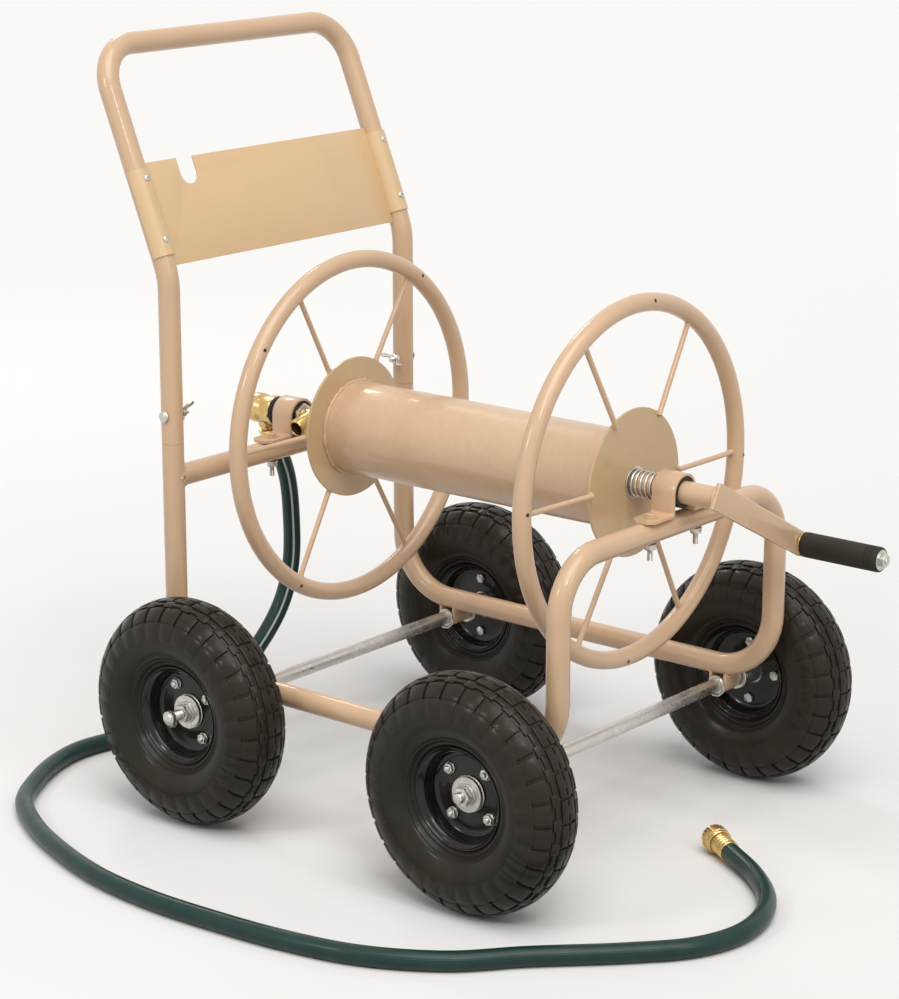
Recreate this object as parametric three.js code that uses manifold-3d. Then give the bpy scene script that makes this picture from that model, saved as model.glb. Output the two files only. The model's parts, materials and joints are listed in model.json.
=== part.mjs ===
// Garden hose reel cart: a hose reel on a bent-tube frame with four pneumatic wheels, a sheet-backed
// pull handle, a side crank and a leader hose. Millimetres, +Z up. X runs across the cart, +Y towards the
// handle and -Y towards the crank. The origin is on the ground, under the middle of the cart's box.
import * as THREE from "three";
import { mergeVertices } from "three/addons/utils/BufferGeometryUtils.js";
import Module from "manifold-3d";

const wasm = await Module();
wasm.setup();

// ---- Driving dimensions --------------------------------------------------------------------------------

const SEAT_GAP = 0.3; // between pieces that touch, screw together or are welded
const RUN_GAP = 0.35; // radial play of a shaft in its bush
const BITE = 1; // how far joined shapes run into each other, and cutters past a face

// Wheels. Along the axle, X is measured from a wheel's middle plane, outwards.
const TYRE_R = 130;
const TYRE_HALF_WIDTH = 39;
const BEAD_SEAT_R = 50.8;
const RIM_LIP_R = 55.5;
const RIM_HALF_WIDTH = 21;
const RIM_WALL = 2.4;
const BEAD_RAMP = 2; // along the axle, from the bead seat out to the flange
const DISH_RAMP = 6; // the same inside, from the dish's barrel out to the lip
const RIM_DISC_X = -0.9; // disc's middle plane
const RIM_BOLTS = 4;
const RIM_BOLT_CIRCLE_R = 34.5;
const RIM_BOLT_FLATS = 11;
const RIM_BOLT_HEAD = 3.7;
const HUB_R = 14.5;
const HUB_PROUD = 3.6; // outside the disc

// Axles
const AXLE_HALF_SPAN = 201.5; // along Y, from the middle to each axle
const AXLE_R = 8;
const AXLE_THREAD_R = 6;
const AXLE_CLIP_WIRE = 2.6;
const HUB_WASHER_THICKNESS = 2;
const STUB_LENGTH = 6; // thread that shows beyond each axle nut
const LONG_STUB_LENGTH = 21;
const AXLE_WASHER_R = 19.2;
const AXLE_WASHER_THICKNESS = 2;
const LOCK_WASHER_R = 12.5;
const AXLE_NUT_FLATS = 19;
const AXLE_NUT_THICKNESS = 7.5;
const AXLE_RAIL_GAP = 1.8; // between an axle and the rail above it
const BRACKET_WIDTH = 30;
const BRACKET_OFFSET = 5; // outwards from the rail's axis
const BRACKET_WALL = 3.2;
const BRACKET_WRAP = 4; // how far its legs run up past the rail's axis
const HUB_STANDOFF = 6.9; // from a bracket to the hub beside it

// Frame tube
const TUBE_R = 12.5;
const FRAME_HALF_WIDTH = 200; // side tubes' axes
const POST_Y = 279;
const LEG_Y = -268;
const RAIL_BEND_R = 73;
const HOOP_BEND_R = 60;
const SPIGOT_LENGTH = 75;
const POST_ABOVE_BAR = 40; // from the rear cross bar's axis to the posts' shoulders
const WHEEL_CLEARANCE = 9; // between a side tube and the tyre beside it

// Handle
const KNEE_RISE = 189; // from the posts' shoulders to the knee
const HANDLE_LEAN = THREE.MathUtils.degToRad(22.53);
const HANDLE_REACH = 266.7; // from the knee to the top bar, along the lean
const HANDLE_CORNER_R = 50;
const KNEE_BEND_R = 75;
const HANDLE_WALL = 1.5;
const HANDLE_BOLT_RISE = 32; // above the posts' shoulders
const HANDLE_BOLT_R = 3;
const HANDLE_BOLT_HEAD_R = 7;
const HANDLE_BOLT_HEAD = 3.5;
const HANDLE_BOLT_TAIL = 12; // inside the handle's tube
const WING_HUB_R = 6;
const WING_HUB_HEIGHT = 6;
const WING_SPAN = 17;
const WING_HEIGHT = 14;
const WING_SHEET = 2.4;

// Handle plate
const SHEET = 1.5;
const PLATE_START = 11.5; // from the knee, along the lean
const PLATE_HEIGHT = 118.8;
const CURL_SETBACK_LOW = 11;
const CURL_SETBACK_HIGH = 8;
const RIVET_R = 3.8;
const RIVET_HEAD = 1.8;
const RIVET_INSET_LOW = 28.7;
const RIVET_INSET_HIGH = 19.6;
const NOTCH_X = -122;
const NOTCH_WIDTH = 25.5;
const NOTCH_DEPTH = 31.4;

// Reel
const REEL_Z = 411.4;
const FRONT_RING_GAP = 52.8; // from the front bar's axis to the front ring's
const REAR_RING_GAP = 95.7; // from the rear bar's axis to the rear ring's
const RING_R = 194.5;
const RING_TUBE_R = 10;
const SPOKES = 6;
const SPOKE_R = 3;
const SPOKE_TURN = THREE.MathUtils.degToRad(-1);
const DISC_R = 81.5;
const DISC_THICKNESS = 3;
const DRUM_R = 53.7;
const DRUM_WALL = 2;
const SHAFT_R = 12.5;
const SHAFT_WALL = 2;

// Bearing straps
const FRONT_BAR_DROP = 36.9; // from the reel's axis down to the cross bars' axes
const REAR_BAR_DROP = 36.4;
const STRAP_WIDTH = 29;
const STRAP_WALL = 3;
const STRAP_HALF_SPAN = 60;
const STRAP_CORNER = 7; // the flanges' clipped corners
const BUSH_WALL = 4.45;
const FRONT_BOLT_INSET = 18; // from the strap's end
const REAR_BOLT_INSET = 22;
const STRAP_BOLT_R = 3;
const STRAP_BOLT_FLATS = 10;
const STRAP_BOLT_HEAD = 4.2;
const STRAP_BOLT_TAIL = 18.4; // below the cross bar
const STRAP_WASHER_R = 7;
const STRAP_WASHER_THICKNESS = 1.4;
const STRAP_NUT_FLATS = 12;
const STRAP_NUT_THICKNESS = 5;

// Compression spring on the crank shaft
const SPRING_WIRE_R = 1.5;
const SPRING_PLAY = 0.6; // round the shaft
const SPRING_TURNS = 4.5;
const SPRING_WASHER_EDGE = 1.9; // outside the coils
const SPRING_WASHER_THICKNESS = 1.5;

// Water way
const PIPE_R = 10;
const OUTLET_R = 11;
const OUTLET_BORE_R = 8;
const OUTLET_BORE_FLOOR = 4; // from the pipe's axis
const OUTLET_LENGTH = 30;
const OUTLET_DROOP = THREE.MathUtils.degToRad(16);
const OUTLET_CLEARANCE = 0.65; // in front of the lock nut
const LOCK_NUT_FLATS = 27;
const LOCK_NUT_THICKNESS = 4.5;
const SEAL_R = 17.5;
const SEAL_THICKNESS = 11;
const ELBOW_R = 18;
const ELBOW_LENGTH = 39.9;
const ELBOW_ROUND = 3; // its back edge
const ELBOW_LEG_INSET = 17; // from its back to the leg's axis
const ELBOW_TURN = THREE.MathUtils.degToRad(25); // of the leg, from straight down towards +X
const ELBOW_LEG_R = 11.5;
const ELBOW_LEG_LENGTH = 26;
const HOSE_NUT_R = 14.5;
const HOSE_NUT_END_R = 12.5;
const HOSE_NUT_LENGTH = 15;
const HOSE_R = 10.5;
const FERRULE_R = 11.8;
const FERRULE_LENGTH = 24;
const COUPLING_NUT_R = 14.5;
const COUPLING_NUT_LENGTH = 20;
const COUPLING_FLOOR = 5;

// Crank
const ARM_GAP = 57; // from the front bar's axis to the arm
const ARM_THICKNESS = 5;
const ARM_WIDTH = 28;
const ARM_THROW = 181;
const ARM_TURN = THREE.MathUtils.degToRad(-27.5);
const GRIP_R = 14;
const GRIP_LENGTH = 97;
const GRIP_ROUND = 3;
const GRIP_GROOVE_INSET = 10; // from the free end
const GRIP_GROOVE_WIDTH = 4;
const GRIP_GROOVE_DEPTH = 0.8;
const GRIP_WASHER_THICKNESS = 1.6;
const GRIP_BOLT_R = 4;
const GRIP_BOLT_HEAD = 4;
const GRIP_NUT_FLATS = 13;
const GRIP_NUT_THICKNESS = 5;
const END_WASHER_R = 11.5;
const END_WASHER_THICKNESS = 2;

// ---- What follows from them ----------------------------------------------------------------------------

const WHEEL_HALF_TRACK = FRAME_HALF_WIDTH + TUBE_R + WHEEL_CLEARANCE + TYRE_HALF_WIDTH;
const BRACKET_X = FRAME_HALF_WIDTH + BRACKET_OFFSET;
const RAIL_Z = TYRE_R + AXLE_R + AXLE_RAIL_GAP + TUBE_R;
const HOOP_BAR_Z = REEL_Z - FRONT_BAR_DROP;
const REAR_BAR_Z = REEL_Z - REAR_BAR_DROP;
const POST_TOP_Z = REAR_BAR_Z + POST_ABOVE_BAR;
const SPIGOT_R = TUBE_R - HANDLE_WALL - SEAT_GAP;
const HANDLE_BOLT_Z = POST_TOP_Z + HANDLE_BOLT_RISE;
const FRONT_BOLT_X = STRAP_HALF_SPAN - FRONT_BOLT_INSET;
const REAR_BOLT_X = STRAP_HALF_SPAN - REAR_BOLT_INSET;
const REEL_FRONT_Y = LEG_Y + FRONT_RING_GAP;
const REEL_REAR_Y = POST_Y - REAR_RING_GAP;
const ARM_BACK_Y = LEG_Y - ARM_GAP;
const ARM_FRONT_Y = ARM_BACK_Y - ARM_THICKNESS;
const STRAP_INNER_R = SHAFT_R + RUN_GAP + BUSH_WALL + SEAT_GAP;

// Finishes: colour, roughness, metalness
const FINISHES = {
  tan: [0xd6b08a, 0.35, 0],
  zinc: [0xbebcb4, 0.4, 0.9],
  brass: [0xc8a046, 0.3, 0.9],
  black: [0x191817, 0.3, 0],
  rubber: [0x35322e, 0.85, 0],
  hose: [0x234b41, 0.45, 0],
};

// ---- Geometry helpers ----------------------------------------------------------------------------------

const X = new THREE.Vector3(1, 0, 0);
const Y = new THREE.Vector3(0, 1, 0);
const Z = new THREE.Vector3(0, 0, 1);
const at = (x, y, z) => new THREE.Vector3(x, y, z);

// A geometry as a solid that can be joined and cut.
function solid(geometry) {
  const bare = geometry.index ? geometry.toNonIndexed() : geometry.clone();
  bare.deleteAttribute("normal");
  bare.deleteAttribute("uv");
  const merged = mergeVertices(bare, 1e-3);
  const vertProperties = merged.attributes.position.array;
  const triVerts = new Uint32Array(merged.index.array);
  return new wasm.Manifold(new wasm.Mesh({ numProp: 3, vertProperties, triVerts }));
}

function geometryOf(body) {
  const mesh = body.getMesh();
  const geometry = new THREE.BufferGeometry();
  geometry.setAttribute("position", new THREE.BufferAttribute(mesh.vertProperties, 3));
  geometry.setIndex(new THREE.BufferAttribute(mesh.triVerts, 1));
  return geometry;
}

const join = (first, ...rest) => rest.reduce((body, piece) => body.add(piece), first);
const cut = (first, ...rest) => rest.reduce((body, piece) => body.subtract(piece), first);

// Turns a geometry built along +Y so that it runs from one point towards another.
function aimed(geometry, from, to) {
  const direction = to.clone().sub(from).normalize();
  geometry.applyQuaternion(new THREE.Quaternion().setFromUnitVectors(Y, direction));
  return geometry.translate(from.x, from.y, from.z);
}

// A round bar between two points.
function bar(radius, from, to, sides = 12, endRadius = radius) {
  const length = from.distanceTo(to);
  const cylinder = new THREE.CylinderGeometry(endRadius, radius, length, sides);
  return solid(aimed(cylinder.translate(0, length / 2, 0), from, to));
}

// A round cut: its flats, not its corners, lie at the radius.
const hole = (radius, from, to, sides = 12) => bar(radius / Math.cos(Math.PI / sides), from, to, sides);

const hexBar = (flats, from, to) => bar(flats / Math.sqrt(3), from, to, 6);

// A turned piece: (radius, height) pairs revolved about the line from one point towards another.
function turned(profile, from, to, sides = 24) {
  const points = profile.map(([radius, height]) => new THREE.Vector2(radius, height));
  if (profile[0][0] > 0) {
    points.push(points[0].clone());
  }
  return solid(aimed(new THREE.LatheGeometry(points, sides), from, to));
}

// A pipe between two points. Its bore's flats, not its corners, lie at the inner radius.
function pipe(outer, inner, from, to, sides = 16) {
  const length = from.distanceTo(to);
  const bore = inner / Math.cos(Math.PI / sides);
  const profile = [
    [bore, 0],
    [outer, 0],
    [outer, length],
    [bore, length],
  ];
  return turned(profile, from, to, sides);
}

const circle = (radius, sides) =>
  new THREE.Shape(new THREE.Path().absarc(0, 0, radius, 0, 2 * Math.PI).getSpacedPoints(sides).slice(0, -1));

// A tube's centre line: straight runs joined by round bends. It has stations only where the tube bends.
class BentLine extends THREE.Curve {
  constructor(corners, bendRadii, stepsPerBend = 4) {
    super();
    this.stations = [];
    const last = corners.length - 1;
    const run = (i) => corners[i + 1].clone().sub(corners[i]).normalize();
    this.stations.push([corners[0], run(0)]);
    for (let i = 1; i < last; i++) {
      const before = run(i - 1);
      const after = run(i);
      const turn = before.angleTo(after);
      const axis = before.clone().cross(after).normalize();
      const start = corners[i].clone().addScaledVector(before, -bendRadii[i - 1] * Math.tan(turn / 2));
      const centre = start.clone().addScaledVector(axis.clone().cross(before), bendRadii[i - 1]);
      for (let step = 0; step <= stepsPerBend; step++) {
        const angle = (turn * step) / stepsPerBend;
        const point = start.clone().sub(centre).applyAxisAngle(axis, angle).add(centre);
        this.stations.push([point, before.clone().applyAxisAngle(axis, angle)]);
      }
    }
    this.stations.push([corners[last], run(last - 1)]);
  }
  get steps() {
    return this.stations.length - 1;
  }
  getPointAt(u, target = new THREE.Vector3()) {
    return target.copy(this.stations[Math.round(u * this.steps)][0]);
  }
  getTangentAt(u, target = new THREE.Vector3()) {
    return target.copy(this.stations[Math.round(u * this.steps)][1]);
  }
}

function bentTube(radius, line, sides = 12) {
  const options = { steps: line.steps, extrudePath: line, bevelEnabled: false };
  return solid(new THREE.ExtrudeGeometry(circle(radius, sides), options));
}

// A flat outline (a THREE.Shape) thickened along +Z, then moved by a matrix.
function slab(shape, thickness, matrix = new THREE.Matrix4(), curveSegments = 6) {
  const options = { depth: thickness, bevelEnabled: false, curveSegments };
  return solid(new THREE.ExtrudeGeometry(shape, options).applyMatrix4(matrix));
}

// The matrix that lays a shape's x, y and thickness along three directions, from an origin.
function laid(origin, xDirection, yDirection) {
  const zDirection = xDirection.clone().cross(yDirection);
  return new THREE.Matrix4().makeBasis(xDirection, yDirection, zDirection).setPosition(origin);
}

const materials = {};
for (const [name, [color, roughness, metalness]] of Object.entries(FINISHES)) {
  materials[name] = new THREE.MeshStandardMaterial({ color, roughness, metalness });
}

function piece(group, name, finish, body) {
  const mesh = new THREE.Mesh(geometryOf(body), materials[finish]);
  mesh.name = name;
  group.add(mesh);
  return mesh;
}

// ---- Frame ---------------------------------------------------------------------------------------------

const SIDES = { left: -1, right: 1 };

// One bent tube: posts, rails, front legs and the hoop that carries the crank's bearing.
function chassisLine() {
  const w = FRAME_HALF_WIDTH;
  const corners = [
    at(-w, POST_Y, POST_TOP_Z),
    at(-w, POST_Y, RAIL_Z),
    at(-w, LEG_Y, RAIL_Z),
    at(-w, LEG_Y, HOOP_BAR_Z),
    at(w, LEG_Y, HOOP_BAR_Z),
    at(w, LEG_Y, RAIL_Z),
    at(w, POST_Y, RAIL_Z),
    at(w, POST_Y, POST_TOP_Z),
  ];
  const bends = [RAIL_BEND_R, RAIL_BEND_R, HOOP_BEND_R, HOOP_BEND_R, RAIL_BEND_R, RAIL_BEND_R];
  return new BentLine(corners, bends);
}

function chassisTube() {
  let body = bentTube(TUBE_R, chassisLine());
  for (const side of Object.values(SIDES)) {
    const x = side * FRAME_HALF_WIDTH;
    const foot = at(x, POST_Y, POST_TOP_Z - BITE);
    const tip = at(x, POST_Y, POST_TOP_Z + SPIGOT_LENGTH);
    body = join(body, bar(SPIGOT_R, foot, tip));
    body = cut(body, handleBoltHole(side));
    body = cut(body, strapBoltHole(side * FRONT_BOLT_X, LEG_Y, HOOP_BAR_Z));
  }
  return body;
}

function handleBoltHole(side) {
  const reach = TUBE_R + SEAT_GAP;
  const from = at(side * (FRAME_HALF_WIDTH - reach), POST_Y, HANDLE_BOLT_Z);
  const to = at(side * (FRAME_HALF_WIDTH + reach), POST_Y, HANDLE_BOLT_Z);
  return hole(HANDLE_BOLT_R + SEAT_GAP, from, to, 8);
}

// Down through a strap's flange and the cross bar under it.
function strapBoltHole(x, y, barZ) {
  const top = barZ + TUBE_R + SEAT_GAP + STRAP_WALL + BITE;
  return hole(STRAP_BOLT_R + SEAT_GAP, at(x, y, barZ - TUBE_R - BITE), at(x, y, top), 8);
}

// The bar between the posts, its ends coped round them.
function rearCrossBar() {
  const end = at(FRAME_HALF_WIDTH, POST_Y, REAR_BAR_Z);
  let body = bar(TUBE_R, end.clone().setX(-FRAME_HALF_WIDTH), end);
  for (const side of Object.values(SIDES)) {
    const x = side * FRAME_HALF_WIDTH;
    const low = at(x, POST_Y, REAR_BAR_Z - 2 * TUBE_R);
    const high = at(x, POST_Y, REAR_BAR_Z + 2 * TUBE_R);
    body = cut(body, hole(TUBE_R + SEAT_GAP, low, high));
    body = cut(body, strapBoltHole(side * REAR_BOLT_X, POST_Y, REAR_BAR_Z));
  }
  return body;
}

// A U strap under a rail. Its round bottom wraps the axle, and its legs are coped to the rail.
function axleBracket(side, axleY) {
  const inner = AXLE_R + SEAT_GAP;
  const outer = inner + BRACKET_WALL;
  const legTop = RAIL_Z - TYRE_R + BRACKET_WRAP;
  const shape = new THREE.Shape();
  shape.absarc(0, 0, outer, -Math.PI, 0);
  shape.lineTo(outer, legTop);
  shape.lineTo(inner, legTop);
  shape.absarc(0, 0, inner, 0, -Math.PI, true);
  shape.lineTo(-inner, legTop);
  shape.lineTo(-outer, legTop);
  const start = at(side * BRACKET_X - BRACKET_WIDTH / 2, axleY, TYRE_R);
  const strap = slab(shape, BRACKET_WIDTH, laid(start, Y, Z), 3);
  return cut(strap, bentTube((TUBE_R + SEAT_GAP) / Math.cos(Math.PI / 12), chassisLine()));
}

// ---- Axles ---------------------------------------------------------------------------------------------

const HUB_INNER_X = BRACKET_X + BRACKET_WIDTH / 2 + HUB_STANDOFF - WHEEL_HALF_TRACK;
const HUB_OUTER_X = RIM_DISC_X + RIM_WALL / 2 + HUB_PROUD;
const NUT_SEAT_X = WHEEL_HALF_TRACK + HUB_OUTER_X + RUN_GAP;
const NUT_STACK = AXLE_WASHER_THICKNESS * 2 + AXLE_NUT_THICKNESS;

function axleEnd(longStub) {
  return NUT_SEAT_X + NUT_STACK + (longStub ? LONG_STUB_LENGTH : STUB_LENGTH);
}

// A round axle with a wire clip inside each bracket, a washer inside each hub and threaded ends.
function axle(axleY, leftLong) {
  const clipX = BRACKET_X - BRACKET_WIDTH / 2 - SEAT_GAP;
  const washerX = WHEEL_HALF_TRACK + HUB_INNER_X - RUN_GAP;
  const point = (x) => at(x, axleY, TYRE_R);
  let body = bar(AXLE_R, point(-NUT_SEAT_X), point(NUT_SEAT_X));
  for (const side of Object.values(SIDES)) {
    const tip = axleEnd(leftLong && side < 0);
    const clipEnds = [clipX - AXLE_CLIP_WIRE, clipX].map((x) => point(side * x));
    const washerEnds = [washerX - HUB_WASHER_THICKNESS, washerX].map((x) => point(side * x));
    const clip = bar(AXLE_R + AXLE_CLIP_WIRE, ...clipEnds, 10);
    const washer = bar(HUB_R, ...washerEnds, 12);
    const thread = bar(AXLE_THREAD_R, point(side * (NUT_SEAT_X - BITE)), point(side * tip), 8);
    body = join(body, clip, washer, thread);
  }
  return body;
}

// A wide washer, a lock washer and a nut on the thread outside a wheel.
function axleNut(side, axleY) {
  const point = (x) => at(side * x, axleY, TYRE_R);
  const wide = NUT_SEAT_X + AXLE_WASHER_THICKNESS;
  const narrow = wide + AXLE_WASHER_THICKNESS;
  const end = narrow + AXLE_NUT_THICKNESS;
  const start = NUT_SEAT_X + SEAT_GAP;
  const stack = join(
    bar(AXLE_WASHER_R, point(start), point(wide), 16),
    bar(LOCK_WASHER_R, point(wide - BITE), point(narrow), 10),
    hexBar(AXLE_NUT_FLATS, point(narrow - BITE), point(end)),
  );
  return cut(stack, hole(AXLE_THREAD_R + SEAT_GAP, point(start - BITE), point(end + BITE), 8));
}

// ---- Wheels, about +X with the outside towards +X ------------------------------------------------------

// The tyre's facets lie at the section's radii, and one of them is flat on the ground.
const TYRE_FACETS = 24;

// Half of the tyre's section, outside the rim: how far out from the lip to the tread, and how far across
// from the middle plane to the sidewall, as shares.
const TYRE_SECTION = [
  [0.075, 0.64],
  [0.255, 0.905],
  [0.477, 1],
  [0.714, 0.89],
  [0.9, 0.59],
  [1, 0.18],
];

function tyre() {
  const flange = RIM_HALF_WIDTH - RIM_WALL - SEAT_GAP;
  const half = [
    [BEAD_SEAT_R + SEAT_GAP, flange - BEAD_RAMP],
    [RIM_LIP_R + SEAT_GAP, flange],
    ...TYRE_SECTION.map(([out, across]) => [RIM_LIP_R + out * (TYRE_R - RIM_LIP_R), across * TYRE_HALF_WIDTH]),
  ];
  const section = [...half.map(([radius, x]) => [radius, -x]), ...half.reverse()];
  const flatsOut = 1 / Math.cos(Math.PI / TYRE_FACETS);
  const profile = section.map(([radius, x]) => [radius * flatsOut, x]);
  return turned(profile, at(0, 0, 0), X, TYRE_FACETS);
}

function rim() {
  const lip = RIM_HALF_WIDTH;
  const barrel = BEAD_SEAT_R - RIM_WALL;
  const discOut = RIM_DISC_X + RIM_WALL / 2;
  const discIn = RIM_DISC_X - RIM_WALL / 2;
  const bore = HUB_R + SEAT_GAP;
  const profile = [
    [bore, discIn],
    [barrel, discIn],
    [barrel, -lip + DISH_RAMP],
    [RIM_LIP_R - RIM_WALL, -lip],
    [RIM_LIP_R, -lip],
    [RIM_LIP_R, -lip + RIM_WALL],
    [BEAD_SEAT_R, -lip + RIM_WALL + BEAD_RAMP],
    [BEAD_SEAT_R, lip - RIM_WALL - BEAD_RAMP],
    [RIM_LIP_R, lip - RIM_WALL],
    [RIM_LIP_R, lip],
    [RIM_LIP_R - RIM_WALL, lip],
    [barrel, lip - DISH_RAMP],
    [barrel, discOut],
    [bore, discOut],
  ];
  let body = turned(profile, at(0, 0, 0), X, 16);
  for (let i = 0; i < RIM_BOLTS; i++) {
    const angle = (2 * Math.PI * i) / RIM_BOLTS;
    const point = (x) => at(x, RIM_BOLT_CIRCLE_R * Math.cos(angle), RIM_BOLT_CIRCLE_R * Math.sin(angle));
    body = join(body, hexBar(RIM_BOLT_FLATS, point(discIn - RIM_BOLT_HEAD), point(discOut + RIM_BOLT_HEAD)));
  }
  return body;
}

function hub() {
  return pipe(HUB_R, AXLE_R + RUN_GAP, at(HUB_INNER_X, 0, 0), at(HUB_OUTER_X, 0, 0), 12);
}

// Side, end of the cart and how far its rim bolts are turned, for each wheel.
const WHEELS = [
  ["front_left", -1, -1, 40],
  ["rear_left", -1, 1, 55],
  ["front_right", 1, -1, 0],
  ["rear_right", 1, 1, 0],
];

function addWheel(group, [name, side, end, boltTurn]) {
  const wheel = new THREE.Group();
  wheel.position.set(side * WHEEL_HALF_TRACK, end * AXLE_HALF_SPAN, TYRE_R);
  wheel.rotation.z = side > 0 ? 0 : Math.PI;
  piece(wheel, name + "_tyre", "rubber", tyre()).rotation.x = Math.PI / TYRE_FACETS;
  piece(wheel, name + "_rim", "black", rim()).rotation.x = THREE.MathUtils.degToRad(boltTurn);
  piece(wheel, name + "_hub", "zinc", hub());
  group.add(wheel);
}

// ---- Handle --------------------------------------------------------------------------------------------

const LEAN = at(0, Math.sin(HANDLE_LEAN), Math.cos(HANDLE_LEAN));
const KNEE = at(0, POST_Y, POST_TOP_Z + KNEE_RISE);
const HANDLE_TOP = KNEE.clone().addScaledVector(LEAN, HANDLE_REACH);

function handleTube() {
  const w = FRAME_HALF_WIDTH;
  const footZ = POST_TOP_Z + SEAT_GAP;
  const onSide = (point, side) => point.clone().setX(side * w);
  const foot = at(0, POST_Y, footZ);
  const corners = [
    onSide(foot, -1),
    onSide(KNEE, -1),
    onSide(HANDLE_TOP, -1),
    onSide(HANDLE_TOP, 1),
    onSide(KNEE, 1),
    onSide(foot, 1),
  ];
  const bends = [KNEE_BEND_R, HANDLE_CORNER_R, HANDLE_CORNER_R, KNEE_BEND_R];
  let body = bentTube(TUBE_R, new BentLine(corners, bends));
  for (const side of Object.values(SIDES)) {
    const low = at(side * w, POST_Y, footZ - BITE);
    const high = at(side * w, POST_Y, POST_TOP_Z + SPIGOT_LENGTH + SEAT_GAP);
    body = cut(body, bar(TUBE_R - HANDLE_WALL, low, high, 14), handleBoltHole(side));
  }
  return body;
}

// The sheet between the handle's tubes: a flat panel with a hose hook notch, its sides curled round the
// front of the tubes and riveted.
function handlePlate() {
  const front = X.clone().cross(LEAN);
  const flatHalf = FRAME_HALF_WIDTH - TUBE_R - SEAT_GAP;
  const origin = KNEE.clone().addScaledVector(LEAN, PLATE_START).addScaledVector(front, -SHEET / 2);
  const notchR = NOTCH_WIDTH / 2;
  const panel = new THREE.Shape();
  panel.moveTo(-flatHalf, 0);
  panel.lineTo(flatHalf, 0);
  panel.lineTo(flatHalf, PLATE_HEIGHT);
  panel.lineTo(NOTCH_X + notchR, PLATE_HEIGHT);
  panel.absarc(NOTCH_X, PLATE_HEIGHT - NOTCH_DEPTH + notchR, notchR, 0, -Math.PI, true);
  panel.lineTo(NOTCH_X - notchR, PLATE_HEIGHT);
  panel.lineTo(-flatHalf, PLATE_HEIGHT);
  let body = slab(panel, SHEET, laid(origin, X, LEAN), 4);
  const curlInner = TUBE_R + SEAT_GAP;
  const curlStart = CURL_SETBACK_LOW;
  const curlLength = PLATE_HEIGHT - CURL_SETBACK_LOW - CURL_SETBACK_HIGH;
  for (const side of Object.values(SIDES)) {
    const curl = new THREE.Shape();
    curl.absarc(0, 0, curlInner + SHEET, 0, Math.PI);
    curl.absarc(0, 0, curlInner, Math.PI, 0, true);
    const tubeLine = origin.clone().addScaledVector(front, SHEET / 2).setX(side * FRAME_HALF_WIDTH);
    const start = tubeLine.clone().addScaledVector(LEAN, curlStart + curlLength);
    body = join(body, slab(curl, curlLength, laid(start, X, front), 4));
    for (const height of [RIVET_INSET_LOW, PLATE_HEIGHT - RIVET_INSET_HIGH]) {
      const root = tubeLine.clone().addScaledVector(LEAN, height).addScaledVector(front, curlInner + SHEET / 2);
      const head = root.clone().addScaledVector(front, SHEET / 2 + RIVET_HEAD);
      body = join(body, bar(RIVET_R, root, head, 8, RIVET_R * 0.55));
    }
  }
  return body;
}

function handleBolt(side) {
  const point = (x) => at(side * x, POST_Y, HANDLE_BOLT_Z);
  const seat = FRAME_HALF_WIDTH + TUBE_R + SEAT_GAP;
  const tail = FRAME_HALF_WIDTH - TUBE_R - HANDLE_BOLT_TAIL;
  const shank = bar(HANDLE_BOLT_R, point(tail), point(seat + BITE), 8);
  const head = bar(HANDLE_BOLT_HEAD_R, point(seat), point(seat + HANDLE_BOLT_HEAD), 10, HANDLE_BOLT_R + BITE);
  return join(shank, head);
}

// Half of a wing nut's flat wings: shares of the span across, and of the height inwards.
const WING_OUTLINE = [
  [0, 0],
  [0.35, 0],
  [0.82, 0.29],
  [1, 0.64],
  [0.85, 1],
  [0.59, 0.96],
  [0.35, 0.5],
  [0, 0.43],
];

function wingNut(side) {
  const seat = FRAME_HALF_WIDTH - TUBE_R - SEAT_GAP;
  const point = (x) => at(side * x, POST_Y, HANDLE_BOLT_Z);
  let body = bar(WING_HUB_R, point(seat), point(seat - WING_HUB_HEIGHT), 10, WING_HUB_R - BITE);
  const size = new THREE.Vector2(WING_SPAN, WING_HEIGHT);
  const outline = WING_OUTLINE.map((shares) => new THREE.Vector2(...shares).multiply(size));
  for (const up of [-1, 1]) {
    const across = at(0, 0.5 * up, 0.866 * up);
    const inward = at(-side, 0, 0);
    const origin = point(seat).addScaledVector(across.clone().cross(inward), -WING_SHEET / 2);
    body = join(body, slab(new THREE.Shape(outline), WING_SHEET, laid(origin, across, inward)));
  }
  return cut(body, hole(HANDLE_BOLT_R + SEAT_GAP, point(seat + BITE), point(seat - WING_HEIGHT), 8));
}

// ---- Bearings ------------------------------------------------------------------------------------------

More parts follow.
